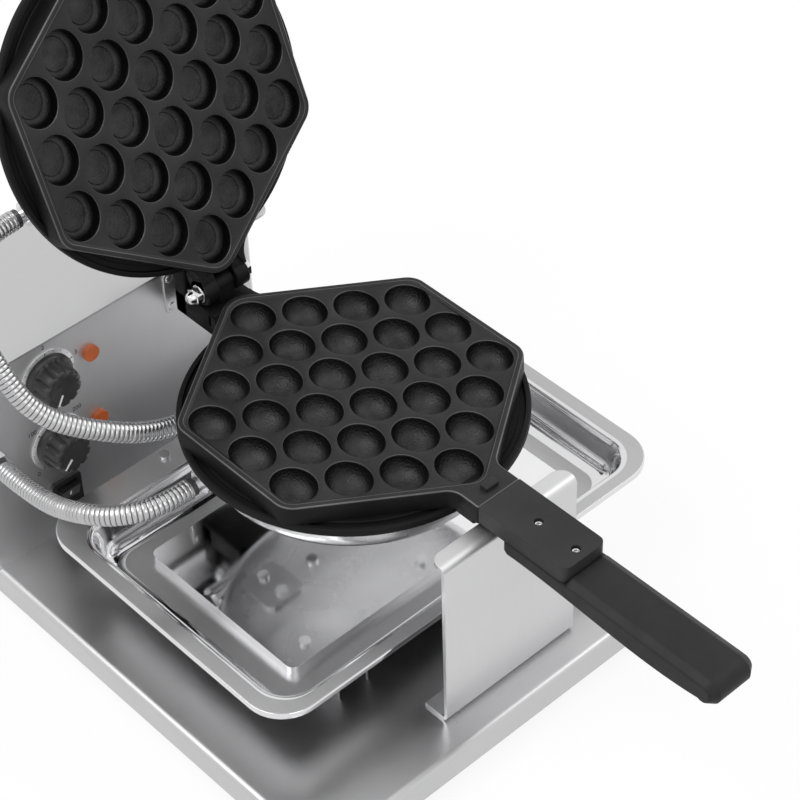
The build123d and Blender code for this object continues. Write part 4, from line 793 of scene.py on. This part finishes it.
# Scales: the knob's turn in degrees and the count of numbers; a number's worth, its distance
# from the centre, its size, thickness and level
SCALE_TURN = {"timer": (300, 5), "thermostat": (270, 4)}
NUMBER_STEP = {"timer": 1, "thermostat": 100}
NUMBER_REACH = {"timer": 23.2, "thermostat": 24.2}
NUMBER_SIZE = 4.6
NUMBER_THICK = 0.06
NUMBER_LEVEL = 0.05

# Their marks, by where each starts and its half width, and the plate's closed profile
MARKS_PER_NUMBER = 4
LONG_MARK = (17.5, 0.35)
SHORT_MARK = (18.3, 0.18)
MARK_END = 19.4
DIAL_FACE = 1.0
DIAL_PROFILE = ((3.7, 0), (19.6, 0), (20.0, 0.3), (20.0, 0.8), (19.7, DIAL_FACE),
                (3.7, DIAL_FACE), (3.7, 0))

# Rocker: how far it leans at rest, the slope, place and height of its two faces, and the levels
# between which its marks stand on a face
ROCKER_TILT = radians(8)
ROCKER_SLOPE = atan2(1.6, 10)
ROCKER_PLACE = 5.5
ROCKER_FACE = 4.78
MARK_SUNK = -0.3
MARK_PROUD = 0.12


def panel_matrix(x, z):
    """From millimetres on the housing front to the world's metres."""
    return front_matrix(x, PANEL_FRONT, z)


def ray_bar(shape, angle, start, end, half, low, high):
    """Thin raised bar in the second material that points away from a dial's centre."""
    out = Vector((cos(angle), sin(angle)))
    across = Vector((-sin(angle), cos(angle))) * half
    corners = [out * start + across, out * start - across, out * end - across, out * end + across]
    shape.loops([[(corner.x, corner.y, z) for corner in corners] for z in (low, high)], 1,
                cap_first=True, cap_last=True)


def scale_angle(control, share):
    """Angle at a share of the way along a control's scale, which starts at its lower left."""
    turn = radians(SCALE_TURN[control][0])
    return pi / 2 + turn / 2 - turn * share


def dial_knob(control, body):
    """Fluted knob with a white pointer; it points to the start of its scale at rest."""
    x, _, z = PANEL[control + "_dial"]
    shape = Shape()
    rings = []
    for row, (radius, level) in enumerate(KNOB_PROFILE):
        depth = KNOB_FLUTE_DEPTH if row in KNOB_GRIP_ROWS else 0
        ring = []
        for i in range(KNOB_SIDES):
            angle = 2 * pi * i / KNOB_SIDES
            reach = radius - depth * max(0.0, cos(KNOB_FLUTES * angle)) ** 2
            ring.append((reach * cos(angle), reach * sin(angle), KNOB_SEAT + level))
        rings.append(ring)
    shape.loops(rings, 0, cap_first=True, cap_last=True)
    ray_bar(shape, scale_angle(control, 0), *POINTER)
    shape.make(control + "_dial_knob", [BLACK, WHITE_PRINT], panel_matrix(x, z), body,
               control + "_knob")


def scale_number(control, number):
    """Number printed outside a scale."""
    x, _, z = PANEL[control + "_dial"]
    angle = scale_angle(control, number / (SCALE_TURN[control][1] - 1))
    reach = NUMBER_REACH[control]
    text = bpy.data.curves.new(f"{control}_number_{number}", "FONT")
    text.body = str(number * NUMBER_STEP[control])
    text.size = NUMBER_SIZE * MM
    text.extrude = NUMBER_THICK * MM
    text.align_x = "CENTER"
    text.align_y = "CENTER"
    text.materials.append(PRINT)
    words = add_object(text.name, text)
    words.matrix_world = (panel_matrix(x + reach * cos(angle), z + reach * sin(angle))
                          @ Matrix.Translation(Vector((0, 0, NUMBER_LEVEL)))
                          @ Matrix.Scale(1 / MM, 4))
    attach(words, "base")


def dial_scale(control):
    """Scale plate with long and short marks, and a number beside each long mark."""
    x, _, z = PANEL[control + "_dial"]
    count = SCALE_TURN[control][1]
    last = (count - 1) * MARKS_PER_NUMBER
    shape = Shape()
    shape.loops([circle(radius, level, 96) for radius, level in DIAL_PROFILE], 0)
    for mark in range(last + 1):
        start, half = SHORT_MARK if mark % MARKS_PER_NUMBER else LONG_MARK
        ray_bar(shape, scale_angle(control, mark / last), start, MARK_END, half,
                DIAL_FACE - 0.1, DIAL_FACE + 0.06)
    shape.make(control + "_scale", [DIAL, PRINT], panel_matrix(x, z), "base", control + "_dial")
    for number in range(count):
        scale_number(control, number)


def rocker_marks():
    """Marks for on and off, raised a little from the rocker's two faces."""
    x, _, z = PANEL["switch_bezel"]
    bar = [[(*corner, level) for corner in box_corners(-0.5, 0.5, -2, 2)]
           for level in (MARK_SUNK, MARK_PROUD)]
    hoop = [circle(1.4, MARK_SUNK, 32), circle(1.4, MARK_PROUD, 32),
            circle(2.1, MARK_PROUD, 32), circle(2.1, MARK_SUNK, 32)]
    shape = Shape()
    for sign, rings in ((1, bar), (-1, hoop)):
        placed = (Matrix.Rotation(ROCKER_TILT, 4, "X")
                  @ Matrix.Translation(Vector((0, sign * ROCKER_PLACE, ROCKER_FACE)))
                  @ Matrix.Rotation(sign * ROCKER_SLOPE, 4, "X"))
        shape.loops([[tuple(placed @ Vector(p)) for p in ring] for ring in rings], 0,
                    cap_first=sign > 0, cap_last=sign > 0)
    shape.make("rocker_marks", [WHITE_PRINT], panel_matrix(x, z), NODE_BODIES["rocker"])


for control_name in SCALE_TURN:
    dial_knob(control_name, NODE_BODIES[control_name + "_knob"])
    dial_scale(control_name)
rocker_marks()

# Ribbed steel conduits on smooth routes; points in metres, as in the solids
CONDUIT_RADIUS = 6.4
CONDUIT_ROOT = 5.8
CONDUIT_PITCH = 2.9
CONDUIT_SIDES = 28
GROOVE_RADIUS = CONDUIT_ROOT + 0.1

# One roll: share of its pitch, and share of the way from root to crest
ROLL = ((0.0, 0.0), (0.12, 0.0), (0.17, 0.72), (0.34, 1.0), (0.76, 1.0), (0.95, 0.72))

# Control points of the two routes
FEED_POINTS = ((-0.0950, 0.0336, 0.1435), (-0.1196, 0.0336, 0.1435), (-0.1408, 0.0456, 0.1420),
               (-0.1526, 0.0664, 0.1370), (-0.1528, 0.1096, 0.1165), (-0.1528, 0.1496, 0.1165))
LINK_POINTS = ((-0.0610, 0.0786, 0.1435), (-0.0820, 0.0786, 0.1475), (-0.1150, 0.0856, 0.1640),
               (-0.1460, 0.1086, 0.1810), (-0.1532, 0.1321, 0.2085), (-0.1520, 0.1557, 0.2373),
               (-0.1398, 0.1710, 0.2518), (-0.1190, 0.1798, 0.2599), (-0.0950, 0.1798, 0.2599))


def route_points(name, points):
    """Close points along the smooth line that the control points shape."""
    data = bpy.data.curves.new(name, "CURVE")
    data.dimensions = "3D"
    data.resolution_u = 48
    spline = data.splines.new("NURBS")
    spline.points.add(len(points) - 1)
    for number, point in enumerate(points):
        spline.points[number].co = (*point, 1)
    spline.order_u = 3
    spline.use_endpoint_u = True
    line = add_object(name, data)
    bpy.context.view_layer.update()
    evaluated = line.evaluated_get(bpy.context.evaluated_depsgraph_get())
    drawn = bpy.data.meshes.new_from_object(evaluated)
    found = [v.co.copy() for v in drawn.vertices]
    bpy.data.objects.remove(line)
    return found


def conduit(name, points, node):
    """Conduit of rolled rings along a route."""
    path = route_points(name + "_line", points)
    travelled = [0.0]
    for before, after in zip(path, path[1:]):
        travelled.append(travelled[-1] + (after - before).length)
    total = travelled[-1]

    def at(distance):
        """Place and heading at a distance along the route."""
        distance = min(max(distance, 0.0), total)
        row = 1
        while row < len(path) - 1 and travelled[row] < distance:
            row += 1
        run = max(travelled[row] - travelled[row - 1], 1e-9)
        share = (distance - travelled[row - 1]) / run
        before = path[max(row - 2, 0)]
        after = path[min(row + 1, len(path) - 1)]
        return path[row - 1].lerp(path[row], share), (after - before).normalized()

    length = total / MM
    rolls = round((length - 2 * CONDUIT_PITCH) / CONDUIT_PITCH)
    pitch = (length - 2 * CONDUIT_PITCH) / rolls
    stations = [(0.0, CONDUIT_ROOT), (CONDUIT_PITCH, CONDUIT_ROOT)]
    for roll in range(rolls):
        start = CONDUIT_PITCH + roll * pitch
        stations += [(start + share * pitch,
                      CONDUIT_ROOT + lift * (CONDUIT_RADIUS - CONDUIT_ROOT))
                     for share, lift in ROLL]
    stations += [(length - CONDUIT_PITCH, CONDUIT_ROOT), (length, CONDUIT_ROOT)]
    angles = [2 * pi * i / CONDUIT_SIDES for i in range(CONDUIT_SIDES)]
    shape = Shape()
    side = None
    rings = []
    for distance, radius in stations:
        place, heading = at(distance * MM)
        side = heading.orthogonal() if side is None else side - heading * side.dot(heading)
        side.normalize()
        other = heading.cross(side)
        rings.append([tuple(place / MM + (side * cos(angle) + other * sin(angle)) * radius)
                      for angle in angles])
    shape.loops(rings, 0, cap_first=True, cap_last=True)
    # Faces at the root between rolls take the darker groove material, as painted shade
    for row in range(len(stations) - 1):
        if stations[row][1] < GROOVE_RADIUS and stations[row + 1][1] < GROOVE_RADIUS:
            first = row * CONDUIT_SIDES
            shape.kinds[first:first + CONDUIT_SIDES] = [1] * CONDUIT_SIDES
    tube = shape.make(name, [HOSE, HOSE_GROOVE_SHADE], Matrix.Scale(MM, 4), None, sharp=50)
    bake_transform(tube)
    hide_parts(node)


conduit("feed_conduit", FEED_POINTS, "feed_hose")
conduit("link_conduit", LINK_POINTS, "link_hose")

# Materials of the CAD nodes that stay
NODE_MATERIALS = {
    CAST_BAR: ("lower_handle_bar", "upper_handle_bar"),
    GRIP: ("lower_grip", "upper_grip"),
    STEEL_X: ("base_tray", "housing_top", "pan_rails", "lower_hatch", "upper_hatch"),
    STEEL_Z: ("front_rest",),
    STEEL_FRONT_LIT: ("housing_wrap", "housing_back"),
    MIRROR: ("mirror_plate",),
    CHROME: ("rest_screws", "pan_screws", "housing_screws", "lower_cover_screws",
             "upper_cover_screws", "turning_shaft", "shaft_nut", "lower_ferrules",
             "upper_ferrules", "hose_outlet", "timer_spindle", "thermostat_spindle",
             "lower_heating_ring", "upper_heating_ring"),
    RUBBER: ("rubber_feet",),
    BLACK: ("timer_body", "thermostat_body", "switch_bezel", "rocker", "supply_gland"),
    LAMP: ("lamps",),
    PORCELAIN: ("terminal_block",),
}
for material, names in NODE_MATERIALS.items():
    for name in names:
        for slot in frame["nodes"][name].material_slots:
            slot.material = material

# Stage: a pale floor, soft lamps and an even pale surround; places in metres
FLOOR_WHITE = 0.88
FLOOR_LEVEL = 0.85
FLOOR_HALF = 6
SURROUND_LEVEL = 0.75
LAMP_AIM = (0, 0, 0.2)


def seen_directly(nodes, links):
    """1 where the camera or a mirror looks straight at a surface, otherwise 0."""
    path = nodes.new("ShaderNodeLightPath")
    seen = nodes.new("ShaderNodeMath")
    seen.operation = "MAXIMUM"
    links.new(path.outputs["Is Camera Ray"], seen.inputs[0])
    links.new(path.outputs["Is Glossy Ray"], seen.inputs[1])
    return seen.outputs["Value"]


def pale_surface(name, level):
    """Matt floor that is plain white to the camera and in mirrors, with a faint shadow on it."""
    material, nodes, links, shader = new_material(name)
    place = coordinates(nodes, links)
    stops = ((0.3, grey(level * 0.99)), (0.7, grey(level)))
    links.new(ramp(nodes, links, noise(nodes, links, place, 3.0), stops),
              shader.inputs["Base Color"])
    shader.inputs["Roughness"].default_value = 0.9
    white = nodes.new("ShaderNodeEmission")
    share = nodes.new("ShaderNodeMath")
    share.operation = "MULTIPLY"
    share.inputs[1].default_value = FLOOR_WHITE
    links.new(seen_directly(nodes, links), share.inputs[0])
    mixed = nodes.new("ShaderNodeMixShader")
    links.new(share.outputs["Value"], mixed.inputs["Fac"])
    links.new(shader.outputs["BSDF"], mixed.inputs[1])
    links.new(white.outputs["Emission"], mixed.inputs[2])
    links.new(mixed.outputs["Shader"], nodes["Material Output"].inputs["Surface"])
    return material


def make_floor():
    """Wide floor under the feet."""
    mesh = bpy.data.meshes.new("floor")
    corners = box_corners(-FLOOR_HALF, FLOOR_HALF, -FLOOR_HALF, FLOOR_HALF)
    mesh.from_pydata([(x, y, 0) for x, y in corners], [], [(0, 1, 2, 3)])
    mesh.materials.append(pale_surface("floor_pale", FLOOR_LEVEL))
    floor = add_object("floor", mesh)


def make_world(level):
    """Even pale surround, plain white where the camera or a mirror looks straight at it."""
    world = bpy.data.worlds.new("surround")
    bpy.context.scene.world = world
    world.use_nodes = True
    nodes, links = world.node_tree.nodes, world.node_tree.links
    background = nodes["Background"]
    background.inputs["Color"].default_value = (1, 1, 1, 1)
    strength = nodes.new("ShaderNodeMapRange")
    strength.inputs["To Min"].default_value = level
    strength.inputs["To Max"].default_value = 1.0
    links.new(seen_directly(nodes, links), strength.inputs["Value"])
    links.new(strength.outputs["Result"], background.inputs["Strength"])


def area_lamp(name, place, size, power):
    """Soft square lamp that faces the object; its size in metres, its power in watts."""
    light = bpy.data.lights.new(name, "AREA")
    light.shape = "SQUARE"
    light.size = size
    light.energy = power
    lamp = add_object(name, light)
    lamp.location = place
    lamp.rotation_euler = (Vector(LAMP_AIM) - Vector(place)).to_track_quat("-Z", "Y").to_euler()


make_floor()
make_world(SURROUND_LEVEL)
area_lamp("key_lamp", (-1.4, 0.5, 2.2), 1.5, 30)
area_lamp("fill_lamp", (1.8, -0.6, 1.6), 1.6, 14)
area_lamp("front_lamp", (-0.6, -2.2, 1.8), 1.4, 10)

# Camera, solved from the photograph; distances in millimetres, angles in radians
VIEW_AZIMUTH = -0.723726
VIEW_ELEVATION = 0.751212
VIEW_ROLL = -0.036179
VIEW_DISTANCE = 1485.88
VIEW_SIDE = -27.804
VIEW_RISE = 7.584
FOCAL_PIXELS = 2532.8
IMAGE_PIXELS = 800
SENSOR = 36.0


def make_camera():
    """Camera where the photograph's camera stood."""
    back = Vector((sin(VIEW_AZIMUTH) * cos(VIEW_ELEVATION),
                   -cos(VIEW_AZIMUTH) * cos(VIEW_ELEVATION), sin(VIEW_ELEVATION)))
    level = Vector((cos(VIEW_AZIMUTH), sin(VIEW_AZIMUTH), 0))
    upright = back.cross(level)
    right = cos(VIEW_ROLL) * level + sin(VIEW_ROLL) * upright
    up = -sin(VIEW_ROLL) * level + cos(VIEW_ROLL) * upright
    place = PAN_CENTRE + back * VIEW_DISTANCE - right * VIEW_SIDE - up * VIEW_RISE
    data = bpy.data.cameras.new("camera")
    data.sensor_width = SENSOR
    data.lens = FOCAL_PIXELS / IMAGE_PIXELS * SENSOR
    data.clip_end = 20
    camera = add_object("camera", data)
    rotation = Matrix((right, up, back)).transposed().to_4x4()
    camera.matrix_world = Matrix.Translation(place * MM) @ rotation
    bpy.context.scene.camera = camera


make_camera()
bpy.context.scene.view_settings.view_transform = "Standard"
